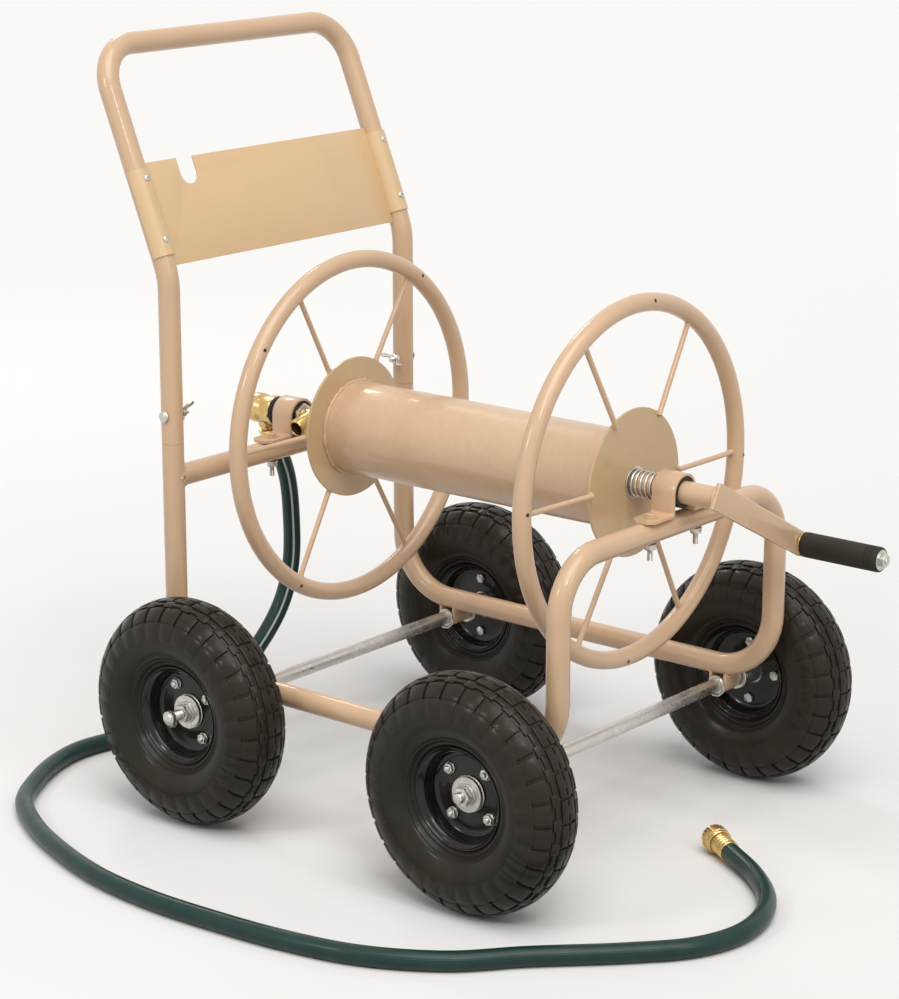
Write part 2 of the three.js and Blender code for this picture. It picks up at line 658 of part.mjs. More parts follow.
// An omega-shaped strap that stands on a cross bar and arches over the reel's axis.
function bearingStrap(y, barZ, boltX) {
  const outer = STRAP_INNER_R + STRAP_WALL;
  const foot = barZ + TUBE_R + SEAT_GAP - REEL_Z;
  const shape = new THREE.Shape();
  shape.moveTo(-STRAP_HALF_SPAN, foot);
  shape.lineTo(-STRAP_INNER_R, foot);
  shape.absarc(0, 0, STRAP_INNER_R, Math.PI, 0, true);
  shape.lineTo(STRAP_INNER_R, foot);
  shape.lineTo(STRAP_HALF_SPAN, foot);
  shape.lineTo(STRAP_HALF_SPAN, foot + STRAP_WALL);
  shape.lineTo(outer, foot + STRAP_WALL);
  shape.absarc(0, 0, outer, 0, Math.PI);
  shape.lineTo(-outer, foot + STRAP_WALL);
  shape.lineTo(-STRAP_HALF_SPAN, foot + STRAP_WALL);
  let body = slab(shape, STRAP_WIDTH, laid(at(0, y + STRAP_WIDTH / 2, REEL_Z), X, Z), 6);
  for (const side of Object.values(SIDES)) {
    const end = at(side * STRAP_HALF_SPAN, y, REEL_Z + foot - BITE);
    for (const edge of [-1, 1]) {
      const corner = end.clone().add(at(0, (edge * STRAP_WIDTH) / 2, 0));
      const clip = bar(STRAP_CORNER, corner, corner.clone().add(at(0, 0, STRAP_WALL + 2 * BITE)), 4);
      body = cut(body, clip);
    }
    body = cut(body, strapBoltHole(side * boltX, y, barZ));
  }
  return body;
}

function bush(y, bore) {
  const half = STRAP_WIDTH / 2;
  return pipe(STRAP_INNER_R - SEAT_GAP, bore, at(0, y - half, REEL_Z), at(0, y + half, REEL_Z));
}

// A hexagon bolt down through a strap and its cross bar, with a washer and nut underneath.
function strapBolt(x, y, barZ) {
  const seat = barZ + TUBE_R + STRAP_WALL + 2 * SEAT_GAP;
  const under = barZ - TUBE_R - SEAT_GAP;
  const point = (z) => at(x, y, z);
  return join(
    bar(STRAP_BOLT_R, point(under - STRAP_BOLT_TAIL), point(seat + BITE), 8),
    hexBar(STRAP_BOLT_FLATS, point(seat), point(seat + STRAP_BOLT_HEAD)),
    bar(STRAP_WASHER_R, point(under - STRAP_WASHER_THICKNESS), point(under), 10),
    hexBar(STRAP_NUT_FLATS, point(under - STRAP_WASHER_THICKNESS - STRAP_NUT_THICKNESS), point(under - BITE)),
  );
}

// ---- Reel ----------------------------------------------------------------------------------------------

const onAxis = (y) => at(0, y, REEL_Z);
const DISC_HALF = DISC_THICKNESS / 2;
const SHAFT_START_Y = REEL_FRONT_Y - DISC_HALF - SEAT_GAP;

function drum() {
  const front = onAxis(REEL_FRONT_Y + DISC_HALF + SEAT_GAP);
  const rear = onAxis(REEL_REAR_Y - DISC_HALF - SEAT_GAP);
  return pipe(DRUM_R, DRUM_R - DRUM_WALL, front, rear, 24);
}

function disc(y) {
  return bar(DISC_R, onAxis(y - DISC_HALF), onAxis(y + DISC_HALF), 28);
}

// A round tube hoop with wire spokes that run in to the disc's rim.
function ringWithSpokes(y) {
  const hoop = new THREE.TorusGeometry(RING_R, RING_TUBE_R, 8, 36).rotateX(Math.PI / 2);
  let body = solid(hoop.translate(0, y, REEL_Z));
  for (let i = 0; i < SPOKES; i++) {
    const angle = SPOKE_TURN + (2 * Math.PI * i) / SPOKES;
    const direction = at(Math.cos(angle), 0, Math.sin(angle));
    const root = onAxis(y).addScaledVector(direction, DISC_R + SEAT_GAP);
    const tip = onAxis(y).addScaledVector(direction, RING_R - RING_TUBE_R / 2);
    body = join(body, bar(SPOKE_R, root, tip, 6));
  }
  return body;
}

function crankShaft() {
  const end = onAxis(ARM_BACK_Y + SEAT_GAP);
  return pipe(SHAFT_R, SHAFT_R - SHAFT_WALL, end, onAxis(SHAFT_START_Y));
}

const SPRING_R = SHAFT_R + SPRING_PLAY + SPRING_WIRE_R; // of the wire's axis
const SPRING_WASHER_END_Y = SHAFT_START_Y - SPRING_WASHER_THICKNESS;

function springWasher() {
  const outer = SPRING_R + SPRING_WIRE_R + SPRING_WASHER_EDGE;
  return pipe(outer, SHAFT_R + RUN_GAP, onAxis(SPRING_WASHER_END_Y), onAxis(SHAFT_START_Y));
}

class Helix extends THREE.Curve {
  constructor(radius, turns, start, end) {
    super();
    Object.assign(this, { radius, turns, start, end });
  }
  getPoint(t, target = new THREE.Vector3()) {
    const angle = 2 * Math.PI * this.turns * t;
    target.lerpVectors(this.start, this.end, t);
    target.x += this.radius * Math.cos(angle);
    target.z += this.radius * Math.sin(angle);
    return target;
  }
}

const SPRING_STEPS = 10; // per turn; their chords, not their corners, lie at the spring's radius

function spring() {
  const inset = SPRING_WIRE_R + SEAT_GAP;
  const start = onAxis(SPRING_WASHER_END_Y - inset);
  const end = onAxis(LEG_Y + STRAP_WIDTH / 2 + inset);
  const chordsOut = 1 / Math.cos(Math.PI / SPRING_STEPS);
  const line = new Helix(SPRING_R * chordsOut, SPRING_TURNS, start, end);
  const options = { steps: Math.round(SPRING_STEPS * SPRING_TURNS), extrudePath: line, bevelEnabled: false };
  return solid(new THREE.ExtrudeGeometry(circle(SPRING_WIRE_R, 6), options));
}

const LOCK_NUT_Y = POST_Y - STRAP_WIDTH / 2 - RUN_GAP - LOCK_NUT_THICKNESS;
const OUTLET_Y = LOCK_NUT_Y - OUTLET_CLEARANCE - OUTLET_R;
const SEAL_BACK_Y = POST_Y + STRAP_WIDTH / 2 + SEAT_GAP + SEAL_THICKNESS;
const ELBOW_FRONT_Y = SEAL_BACK_Y + SEAT_GAP;
const ELBOW_BACK_Y = ELBOW_FRONT_Y + ELBOW_LENGTH;
const ELBOW_LEG_Y = ELBOW_BACK_Y - ELBOW_LEG_INSET;
const PIPE_END_Y = ELBOW_LEG_Y - ELBOW_LEG_R;

// The water pipe on the reel's rear axis, with the branch that the wound hose screws on.
function reelOutlet() {
  const start = REEL_REAR_Y + DISC_HALF + SEAT_GAP;
  const aside = at(-Math.cos(OUTLET_DROOP), 0, -Math.sin(OUTLET_DROOP));
  const branch = (along) => onAxis(OUTLET_Y).addScaledVector(aside, along);
  const body = join(
    bar(PIPE_R, onAxis(start), onAxis(PIPE_END_Y), 16),
    bar(OUTLET_R, branch(0), branch(OUTLET_LENGTH), 12),
  );
  return cut(body, bar(OUTLET_BORE_R, branch(OUTLET_BORE_FLOOR), branch(OUTLET_LENGTH + BITE), 12));
}

function lockNut() {
  const end = LOCK_NUT_Y + LOCK_NUT_THICKNESS;
  const nut = hexBar(LOCK_NUT_FLATS, onAxis(LOCK_NUT_Y), onAxis(end));
  return cut(nut, hole(PIPE_R + SEAT_GAP, onAxis(LOCK_NUT_Y - BITE), onAxis(end + BITE), 16));
}

// ---- Crank ---------------------------------------------------------------------------------------------

const ARM_DIRECTION = at(Math.cos(ARM_TURN), 0, Math.sin(ARM_TURN));
const gripPoint = (y) => onAxis(y).addScaledVector(ARM_DIRECTION, ARM_THROW);
const GRIP_BACK_Y = ARM_FRONT_Y - GRIP_WASHER_THICKNESS - 2 * SEAT_GAP;
const GRIP_FRONT_Y = GRIP_BACK_Y - GRIP_LENGTH;

function crankArm() {
  const half = ARM_WIDTH / 2;
  const shape = new THREE.Shape();
  shape.moveTo(-SHAFT_R, -half);
  shape.lineTo(ARM_THROW, -half);
  shape.absarc(ARM_THROW, 0, half, -Math.PI / 2, Math.PI / 2);
  shape.lineTo(-SHAFT_R, half);
  const up = ARM_DIRECTION.clone().cross(Y);
  const matrix = laid(onAxis(ARM_BACK_Y), ARM_DIRECTION, up);
  const arm = slab(shape, ARM_THICKNESS, matrix, 6);
  return cut(arm, hole(GRIP_BOLT_R + SEAT_GAP, gripPoint(ARM_FRONT_Y - BITE), gripPoint(ARM_BACK_Y + BITE), 8));
}

// The bolt that the grip turns on: head behind the arm, washer and nut at the free end.
function gripBolt() {
  const seat = ARM_BACK_Y + SEAT_GAP;
  const washer = GRIP_FRONT_Y - RUN_GAP;
  const nut = washer - END_WASHER_THICKNESS;
  return join(
    hexBar(GRIP_NUT_FLATS, gripPoint(seat + GRIP_BOLT_HEAD), gripPoint(seat)),
    bar(GRIP_BOLT_R, gripPoint(seat + BITE), gripPoint(nut - GRIP_NUT_THICKNESS - BITE), 8),
    bar(END_WASHER_R, gripPoint(washer), gripPoint(nut), 12),
    hexBar(GRIP_NUT_FLATS, gripPoint(nut + BITE), gripPoint(nut - GRIP_NUT_THICKNESS)),
  );
}

function gripWasher() {
  const bore = GRIP_BOLT_R + SEAT_GAP;
  const back = ARM_FRONT_Y - SEAT_GAP;
  return pipe(GRIP_R, bore, gripPoint(back), gripPoint(back - GRIP_WASHER_THICKNESS), 12);
}

function grip() {
  const bore = GRIP_BOLT_R + RUN_GAP;
  const endR = GRIP_R - GRIP_ROUND / 3;
  const grooveR = GRIP_R - GRIP_GROOVE_DEPTH;
  const grooveEnd = GRIP_LENGTH - GRIP_GROOVE_INSET;
  const grooveStart = grooveEnd - GRIP_GROOVE_WIDTH;
  const profile = [
    [bore, 0],
    [endR, 0],
    [GRIP_R, GRIP_ROUND],
    [GRIP_R, grooveStart],
    [grooveR, grooveStart + GRIP_GROOVE_DEPTH],
    [grooveR, grooveEnd - GRIP_GROOVE_DEPTH],
    [GRIP_R, grooveEnd],
    [GRIP_R, GRIP_LENGTH - GRIP_ROUND],
    [endR, GRIP_LENGTH],
    [bore, GRIP_LENGTH],
  ];
  return turned(profile, gripPoint(GRIP_BACK_Y), gripPoint(GRIP_FRONT_Y), 12);
}

// ---- Inlet swivel and leader hose ----------------------------------------------------------------------

const ELBOW_DOWN = at(Math.sin(ELBOW_TURN), 0, -Math.cos(ELBOW_TURN));
const legPoint = (along) => onAxis(ELBOW_LEG_Y).addScaledVector(ELBOW_DOWN, along);
const HOSE_NUT_START = ELBOW_LEG_LENGTH + SEAT_GAP;
const HOSE_START = HOSE_NUT_START + HOSE_NUT_LENGTH + SEAT_GAP;

function swivelSeal() {
  const start = onAxis(POST_Y + STRAP_WIDTH / 2 + SEAT_GAP);
  return pipe(SEAL_R, PIPE_R + RUN_GAP, start, onAxis(SEAL_BACK_Y), 12);
}

function swivelElbow() {
  const body = join(
    bar(ELBOW_R, onAxis(ELBOW_FRONT_Y), onAxis(ELBOW_BACK_Y - ELBOW_ROUND), 16),
    bar(ELBOW_R, onAxis(ELBOW_BACK_Y - ELBOW_ROUND), onAxis(ELBOW_BACK_Y), 16, ELBOW_R - ELBOW_ROUND),
    bar(ELBOW_LEG_R, legPoint(0), legPoint(ELBOW_LEG_LENGTH), 12),
  );
  return cut(body, hole(PIPE_R + RUN_GAP, onAxis(ELBOW_FRONT_Y - BITE), onAxis(PIPE_END_Y + SEAT_GAP), 16));
}

function swivelHoseNut() {
  const end = legPoint(HOSE_NUT_START + HOSE_NUT_LENGTH);
  return bar(HOSE_NUT_R, legPoint(HOSE_NUT_START), end, 12, HOSE_NUT_END_R);
}

// The leader hose's free run: down behind the rear bar, out past the left rear wheel and round on the
// ground to the front, between the front wheels.
const HOSE_REST_Z = HOSE_R + 0.1;
const HOSE_POINTS = [
  legPoint(HOSE_START),
  at(40, ELBOW_LEG_Y, 322),
  at(47, ELBOW_LEG_Y, 268),
  at(45, ELBOW_LEG_Y, 210),
  at(29, ELBOW_LEG_Y + 2, 162),
  at(-3, 336, 118),
  at(-36, 352, 78),
  at(-74, 382, 41),
  at(-113, 416, 19),
  at(-156, 440, HOSE_REST_Z),
  at(-203, 446, HOSE_REST_Z),
  at(-252, 436, HOSE_REST_Z),
  at(-306, 410, HOSE_REST_Z),
  at(-361, 371, HOSE_REST_Z),
  at(-405, 305, HOSE_REST_Z),
  at(-437, 230, HOSE_REST_Z),
  at(-461, 145, HOSE_REST_Z),
  at(-470, 58, HOSE_REST_Z),
  at(-467, -28, HOSE_REST_Z),
  at(-457, -120, HOSE_REST_Z),
  at(-436, -203, HOSE_REST_Z),
  at(-391, -280, HOSE_REST_Z),
  at(-333, -333, HOSE_REST_Z),
  at(-262, -405, HOSE_REST_Z),
  at(-209, -449, HOSE_REST_Z),
  at(-158, -466, HOSE_REST_Z),
  at(-106, -461, HOSE_REST_Z),
  at(-57, -436, HOSE_REST_Z),
  at(-15, -393, HOSE_REST_Z + 0.8),
  at(16, -341, HOSE_REST_Z + 3.6),
];
const hoseLine = new THREE.CatmullRomCurve3(HOSE_POINTS, false, "centripetal");

function hoseTube() {
  const options = { steps: 42, extrudePath: hoseLine, bevelEnabled: false };
  return solid(new THREE.ExtrudeGeometry(circle(HOSE_R, 8), options));
}

const hoseEndRun = hoseLine.getTangentAt(1);
const pastEnd = (along) => hoseLine.getPoint(1).addScaledVector(hoseEndRun, along);

function hoseFerrule() {
  return bar(FERRULE_R, pastEnd(SEAT_GAP), pastEnd(FERRULE_LENGTH), 16);
}

function couplingNut() {
  const start = FERRULE_LENGTH + SEAT_GAP;
  const end = start + COUPLING_NUT_LENGTH;
  const body = bar(COUPLING_NUT_R, pastEnd(start), pastEnd(end), 12);
  return cut(body, bar(FERRULE_R, pastEnd(start + COUPLING_FLOOR), pastEnd(end + BITE), 12));
}

// ---- Assembly ------------------------------------------------------------------------------------------

const cart = new THREE.Group();
piece(cart, "chassis_tube", "tan", chassisTube());
piece(cart, "rear_cross_bar", "tan", rearCrossBar());
for (const [name, side, end] of WHEELS) {
  piece(cart, name + "_axle_bracket", "tan", axleBracket(side, end * AXLE_HALF_SPAN));
  piece(cart, name + "_axle_nut", "zinc", axleNut(side, end * AXLE_HALF_SPAN));
}
piece(cart, "front_axle", "zinc", axle(-AXLE_HALF_SPAN, false));
piece(cart, "rear_axle", "zinc", axle(AXLE_HALF_SPAN, true));
WHEELS.forEach((wheel) => addWheel(cart, wheel));

piece(cart, "handle_tube", "tan", handleTube());
piece(cart, "handle_plate", "tan", handlePlate());
for (const [name, side] of Object.entries(SIDES)) {
  piece(cart, "handle_bolt_" + name, "zinc", handleBolt(side));
  piece(cart, "wing_nut_" + name, "zinc", wingNut(side));
  piece(cart, "front_strap_bolt_" + name, "zinc", strapBolt(side * FRONT_BOLT_X, LEG_Y, HOOP_BAR_Z));
  piece(cart, "rear_strap_bolt_" + name, "zinc", strapBolt(side * REAR_BOLT_X, POST_Y, REAR_BAR_Z));
}
piece(cart, "front_bearing_strap", "tan", bearingStrap(LEG_Y, HOOP_BAR_Z, FRONT_BOLT_X));
piece(cart, "rear_bearing_strap", "tan", bearingStrap(POST_Y, REAR_BAR_Z, REAR_BOLT_X));
piece(cart, "front_bush", "black", bush(LEG_Y, SHAFT_R + RUN_GAP));
piece(cart, "rear_bush", "black", bush(POST_Y, PIPE_R + RUN_GAP));

piece(cart, "reel_drum", "tan", drum());
piece(cart, "reel_front_disc", "tan", disc(REEL_FRONT_Y));
piece(cart, "reel_rear_disc", "tan", disc(REEL_REAR_Y));
piece(cart, "reel_front_ring", "tan", ringWithSpokes(REEL_FRONT_Y));
piece(cart, "reel_rear_ring", "tan", ringWithSpokes(REEL_REAR_Y));
piece(cart, "crank_shaft", "tan", crankShaft());
piece(cart, "spring_washer", "zinc", springWasher());
piece(cart, "reel_spring", "zinc", spring());
piece(cart, "reel_outlet", "brass", reelOutlet());
piece(cart, "outlet_lock_nut", "zinc", lockNut());
piece(cart, "crank_arm", "tan", crankArm());
piece(cart, "grip_bolt", "zinc", gripBolt());
piece(cart, "grip_washer", "brass", gripWasher());
piece(cart, "crank_grip", "rubber", grip());

piece(cart, "swivel_seal", "rubber", swivelSeal());
piece(cart, "swivel_elbow", "brass", swivelElbow());

// The origin goes under the middle of the box of everything but the hose.
const box = new THREE.Box3().setFromObject(cart);
cart.position.y = -(box.min.y + box.max.y) / 2;

piece(cart, "swivel_hose_nut", "brass", swivelHoseNut());
piece(cart, "leader_hose", "hose", hoseTube());
piece(cart, "hose_ferrule", "brass", hoseFerrule());
piece(cart, "hose_coupling_nut", "brass", couplingNut());

export default cart;
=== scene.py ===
"""Garden hose reel cart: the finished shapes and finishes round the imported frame.

Places and sizes are in millimetres, and the mesh helpers turn them into metres. The stage, the hose's
route and the shaders' noise scales are in metres.
"""

import json
import math
import random

import bmesh
import bpy
from mathutils import Matrix, Vector


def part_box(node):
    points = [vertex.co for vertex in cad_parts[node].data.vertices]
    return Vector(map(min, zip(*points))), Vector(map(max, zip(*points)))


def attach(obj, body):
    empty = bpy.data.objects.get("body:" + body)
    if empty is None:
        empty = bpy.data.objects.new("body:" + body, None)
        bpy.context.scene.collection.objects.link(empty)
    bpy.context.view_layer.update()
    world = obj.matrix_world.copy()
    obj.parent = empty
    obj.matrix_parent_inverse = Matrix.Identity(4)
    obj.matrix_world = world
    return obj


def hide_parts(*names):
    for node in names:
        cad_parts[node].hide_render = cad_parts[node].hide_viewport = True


bl_info = {
    "name": "Garden Hose Reel Cart",
    "version": (1, 0, 0),
    "blender": (4, 5, 0),
    "location": "View3D > Sidebar > Reel Cart",
    "description": "Builds a wheeled hose reel cart piece by piece round its packed frame",
    "category": "Add Mesh",
}

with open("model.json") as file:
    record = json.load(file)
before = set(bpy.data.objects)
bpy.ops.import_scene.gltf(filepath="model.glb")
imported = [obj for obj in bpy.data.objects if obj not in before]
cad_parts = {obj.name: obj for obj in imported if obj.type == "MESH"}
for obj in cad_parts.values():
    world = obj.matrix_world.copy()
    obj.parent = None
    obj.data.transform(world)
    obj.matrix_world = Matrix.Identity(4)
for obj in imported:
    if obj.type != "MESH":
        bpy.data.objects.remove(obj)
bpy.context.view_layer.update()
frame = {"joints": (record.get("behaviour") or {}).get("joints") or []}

MM = 0.001
FULL_TURN = 2 * math.pi
X, Y, Z = Vector((1, 0, 0)), Vector((0, 1, 0)), Vector((0, 0, 1))
SIDES = {"left": -1, "right": 1}
HINGES = {joint["name"]: Vector(joint["pos_m"]) / MM for joint in frame["joints"]}


# ---- Places that come from the frame, and sizes that its boxes don't give --------------------------------


def box(node):
    """A node's low and high corners."""
    low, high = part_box(node)
    return low / MM, high / MM


def middle(node):
    low, high = box(node)
    return (low + high) / 2


def depth_of(node):
    """A node's size along the reel's axis."""
    low, high = box(node)
    return high.y - low.y


SEAT_GAP = 0.3  # between pieces that touch
REEL_AXIS = HINGES["reel_spin"]
CHASSIS_LOW, CHASSIS_HIGH = box("chassis_tube")
TUBE_R = depth_of("rear_cross_bar") / 2
POST_Y = middle("rear_cross_bar").y
REAR_BAR_Z = middle("rear_cross_bar").z
FRONT_BAR_Z = REAR_BAR_Z - 0.5
LEG_Y = middle("front_bearing_strap").y
SIDE_X = CHASSIS_HIGH.x - TUBE_R
RAIL_Z = CHASSIS_LOW.z + TUBE_R
HANDLE_FOOT_Z = box("handle_tube")[0].z
POST_TOP_Z = HANDLE_FOOT_Z - SEAT_GAP
FRONT_RING_Y = middle("reel_front_disc").y
REAR_RING_Y = middle("reel_rear_disc").y

RAIL_BEND_R = 73
HOOP_BEND_R = 60
SPIGOT_R = 10.6
SPIGOT_LENGTH = 74
BRACKET_WIDTH = 30
BRACKET_OFFSET = 5  # outwards from the rail's axis
BRACKET_INNER_R = 8.3
BRACKET_OUTER_R = 11.5
BRACKET_WRAP = 4  # above the rail's lowest line

LEAN = math.radians(22.53)
LEAN_UP = Vector((0, math.sin(LEAN), math.cos(LEAN)))
LEAN_FRONT = X.cross(LEAN_UP)
KNEE = Vector((0, POST_Y, 604))
KNEE_BEND_R = 75
HANDLE_CORNER_R = 50
HANDLE_REACH = 266.7  # from the knee to the top bar, along the lean
SHEET = 1.5
PLATE_START = 11.5  # from the knee, along the lean
PLATE_HEIGHT = 118.8
CURL_SETBACK_LOW = 11
CURL_SETBACK_HIGH = 8
RIVET_HEIGHTS = (28.7, PLATE_HEIGHT - 19.6)
NOTCH_X = -122
NOTCH_R = 12.75
NOTCH_DEPTH = 31.4
NOTCH_CORNER = 1.2

STRAP_WALL = 3
STRAP_INNER_R = 17.6
STRAP_HALF_SPAN = 60
STRAP_FOLD = 2.4
STRAP_CLIP = 5  # cut from the flanges' corners

RING_R = 194.5
RING_TUBE_R = 10
SPOKES = 6
SPOKE_R = 3
DISC_R = 81.5
DISC_HALF = 1.5
DRUM_R = 53.7
SHAFT_R = 12.5

AXLE_R = 8
AXLE_BORE_R = 8.05
AXLE_THREAD_R = 6
NUT_SEAT_X = 4.25  # outwards from a wheel's middle plane
WHEELS = {  # the side, and the turn of the rim's bolts in degrees
    "front_left": (-1, 40),
    "rear_left": (-1, 55),
    "front_right": (1, 0),
    "rear_right": (1, 0),
}


def on_reel(y):
    return Vector((0, y, REEL_AXIS.z))


def hub_of(wheel):
    return HINGES[wheel + "_wheel_spin"]


# ---- Sizes and colours that can be changed ---------------------------------------------------------------


def measure(name, description, default, low, high):
    """A length property, given in millimetres."""
    return bpy.props.FloatProperty(
        name=name, description=description, default=default * MM, min=low * MM, max=high * MM,
        subtype="DISTANCE", unit="LENGTH",
    )


def colour(name, description, default):
    return bpy.props.FloatVectorProperty(
        name=name, description=description, subtype="COLOR", size=3, min=0, max=1, default=default
    )


class ReelCartSizes(bpy.types.PropertyGroup):
    sides: bpy.props.IntProperty(
        name="Round Sides", description="Sides of a frame tube's section", default=36, min=12, max=96
    )
    lugs: bpy.props.IntProperty(
        name="Tread Blocks", description="Blocks round a row of a tyre's tread", default=30, min=12, max=60
    )
    spring_turns: bpy.props.FloatProperty(
        name="Spring Turns", description="Coils of the compression spring", default=5.5, min=2, max=9
    )
    bevel: measure("Edge Rounding", "Rounding of cut sheet and bar edges", 0.4, 0, 2)
    lug_depth: measure("Tread Depth", "Depth of the grooves between the tread blocks", 2.3, 1, 6)
    spring_wire: measure("Spring Wire", "Diameter of the spring's wire", 2.9, 1, 5)
    hose_diameter: measure("Hose Diameter", "Outside diameter of the leader hose", 21, 12, 30)
    weld_bead: measure("Weld Bead", "Radius of the weld beads", 1.7, 0.5, 4)


class ReelCartColours(bpy.types.PropertyGroup):
    powder_coat: colour("Powder Coat", "Tan powder coat on the tubes and the drum", (0.690, 0.462, 0.285))
    sheet_coat: colour("Sheet Coat", "Tan powder coat on the plate and the discs", (0.760, 0.528, 0.286))
    rim_paint: colour("Rim Paint", "Gloss paint on the wheel rims", (0.0080, 0.0063, 0.0047))
    zinc: colour("Zinc", "Zinc plating on the axles and fasteners", (0.66, 0.64, 0.59))
    brass: colour("Brass", "Machined brass of the water fittings", (0.73, 0.52, 0.22))
    rubber: colour("Tyre Rubber", "Rubber of the tyres", (0.0185, 0.0142, 0.0092))
    hose: colour("Hose", "Vinyl of the leader hose", (0.0055, 0.036, 0.028))
    stripe: colour("Hose Stripe", "Stripe along the hose", (0.60, 0.66, 0.62))
    floor: colour("Floor", "Studio floor", (0.985, 0.975, 0.962))


def sizes():
    return bpy.context.scene.reel_cart_sizes


def colours():
    return bpy.context.scene.reel_cart_colours


def in_mm(name):
    """A length property's value in millimetres."""
    return getattr(sizes(), name) / MM


# ---- Shader nodes ----------------------------------------------------------------------------------------


def feed(tree, socket, value):
    """Links an input to a source socket, or sets its plain value."""
    if isinstance(value, bpy.types.NodeSocket):
        tree.links.new(value, socket)
    else:
        socket.default_value = value


def add(tree, kind, inputs=(), **settings):
    """A node with its settings, and its inputs fed."""
    node = tree.nodes.new("ShaderNode" + kind)
    for name, value in settings.items():
        setattr(node, name, value)
    for name, value in dict(inputs).items():
        feed(tree, node.inputs[name], value)
    return node


def rgba(values, share=1.0):
    return (*[channel * share for channel in values[:3]], 1)


def mixed(tree, factor, first, second):
    """A mix of two colours or colour sockets."""
    ends = [end if isinstance(end, bpy.types.NodeSocket) else rgba(end) for end in (first, second)]
    return add(tree, "Mix", {0: factor, 6: ends[0], 7: ends[1]}, data_type="RGBA").outputs[2]


def ranged(tree, value, low, high, to_low=0.0, to_high=1.0):
    inputs = {"Value": value, "From Min": low, "From Max": high, "To Min": to_low, "To Max": to_high}
    return add(tree, "MapRange", inputs).outputs["Result"]


def math_node(tree, operation, first, second=0.0):
    return add(tree, "Math", {0: first, 1: second}, operation=operation).outputs[0]


def product(tree, first, second):
    return math_node(tree, "MULTIPLY", first, second)


def object_coordinates(tree):
    return add(tree, "TexCoord").outputs["Object"]


def noise(tree, place, scale, detail, roughness=0.5):
    inputs = {"Vector": place, "Scale": scale, "Detail": detail, "Roughness": roughness}
    return add(tree, "TexNoise", inputs).outputs["Fac"]


def seen_ray(tree):
    """One for a ray from the camera or off a glossy or clear surface: all of them see the backdrop."""
    path = add(tree, "LightPath")
    seen = math_node(tree, "MAXIMUM", path.outputs["Is Camera Ray"], path.outputs["Is Glossy Ray"])
    return math_node(tree, "MAXIMUM", seen, path.outputs["Is Transmission Ray"])


# ---- Shader groups ---------------------------------------------------------------------------------------

GREY = (0.5, 0.5, 0.5, 1)
EVEN = (1.0, 1.0, 1.0)  # marks that are stretched along no axis
GROUP_MAKERS = {}


def shader_group(name, inputs, outputs):
    """Keeps a function that fills a group, with its inputs {name: default} and its outputs {name: kind}."""

    def keep(fill):
        GROUP_MAKERS[name] = (inputs, outputs, fill)
        return fill

    return keep


def group_named(name):
    """A shared shader group, made when it is first asked for."""
    if name in bpy.data.node_groups:
        return bpy.data.node_groups[name]
    inputs, outputs, fill = GROUP_MAKERS[name]
    tree = bpy.data.node_groups.new(name, "ShaderNodeTree")
    for label, default in inputs.items():
        kind = {1: "Float", 3: "Vector", 4: "Color"}[len(default) if isinstance(default, tuple) else 1]
        socket = tree.interface.new_socket(label, in_out="INPUT", socket_type="NodeSocket" + kind)
        socket.default_value = default
    for label, kind in outputs.items():
        tree.interface.new_socket(label, in_out="OUTPUT", socket_type="NodeSocket" + kind)
    given, made = tree.nodes.new("NodeGroupInput"), tree.nodes.new("NodeGroupOutput")
    for label, source in fill(tree, given.outputs).items():
        tree.links.new(source, made.inputs[label])
    return tree


def effect(tree, name, **values):
    """The outputs of a shared shader group placed in a tree."""
    inputs = {label.title(): value for label, value in values.items()}
    return add(tree, "Group", inputs, node_tree=group_named(name)).outputs


@shader_group(
    "Cloudy Tone",
    {"Colour": GREY, "Shade": GREY, "Scale": 8.0, "Amount": 0.5},
    {"Colour": "Color", "Mask": "Float"},
)
def cloudy_tone(tree, given):
    """Slow drifts between a finish's colour and its shade."""
    mask = ranged(tree, noise(tree, object_coordinates(tree), given["Scale"], 3.0, 0.55), 0.35, 0.65)
    factor = product(tree, mask, given["Amount"])
    return {"Colour": mixed(tree, factor, given["Colour"], given["Shade"]), "Mask": mask}


@shader_group("Fine Grain", {"Scale": 600.0, "Softness": 0.5}, {"Height": "Float"})
def fine_grain(tree, given):
    """A fine even height: the orange peel of a coating or the pores of rubber."""
    return {"Height": noise(tree, object_coordinates(tree), given["Scale"], 2.0, given["Softness"])}


@shader_group(
    "Turned Marks", {"Stretch": EVEN, "Scale": 400.0}, {"Height": "Float", "Mask": "Float"}
)
def turned_marks(tree, given):
    """Fine lines stretched along chosen axes, as drawing, turning or brushing leaves them."""
    stretched = add(
        tree, "VectorMath", {0: object_coordinates(tree), 1: given["Stretch"]}, operation="MULTIPLY"
    ).outputs[0]
    lines = noise(tree, stretched, given["Scale"], 4.0, 0.6)
    return {"Height": lines, "Mask": ranged(tree, lines, 0.3, 0.7)}


@shader_group(
    "Zinc Spangle", {"Scale": 260.0, "Colour": GREY, "Dull": GREY}, {"Colour": "Color", "Tone": "Float"}
)
def zinc_spangle(tree, given):
    """The mottled crystals of zinc plating."""
    place = object_coordinates(tree)
    cells = add(tree, "TexVoronoi", {"Vector": place, "Scale": given["Scale"], "Randomness": 1.0})
    grey = add(tree, "RGBToBW", {"Color": cells.outputs["Color"]}).outputs[0]
    cloud = product(tree, noise(tree, place, 45.0, 4.0), 1.2)
    tone = ranged(tree, math_node(tree, "ADD", grey, cloud), 0.7, 1.5)
    return {"Colour": mixed(tree, tone, given["Dull"], given["Colour"]), "Tone": tone}


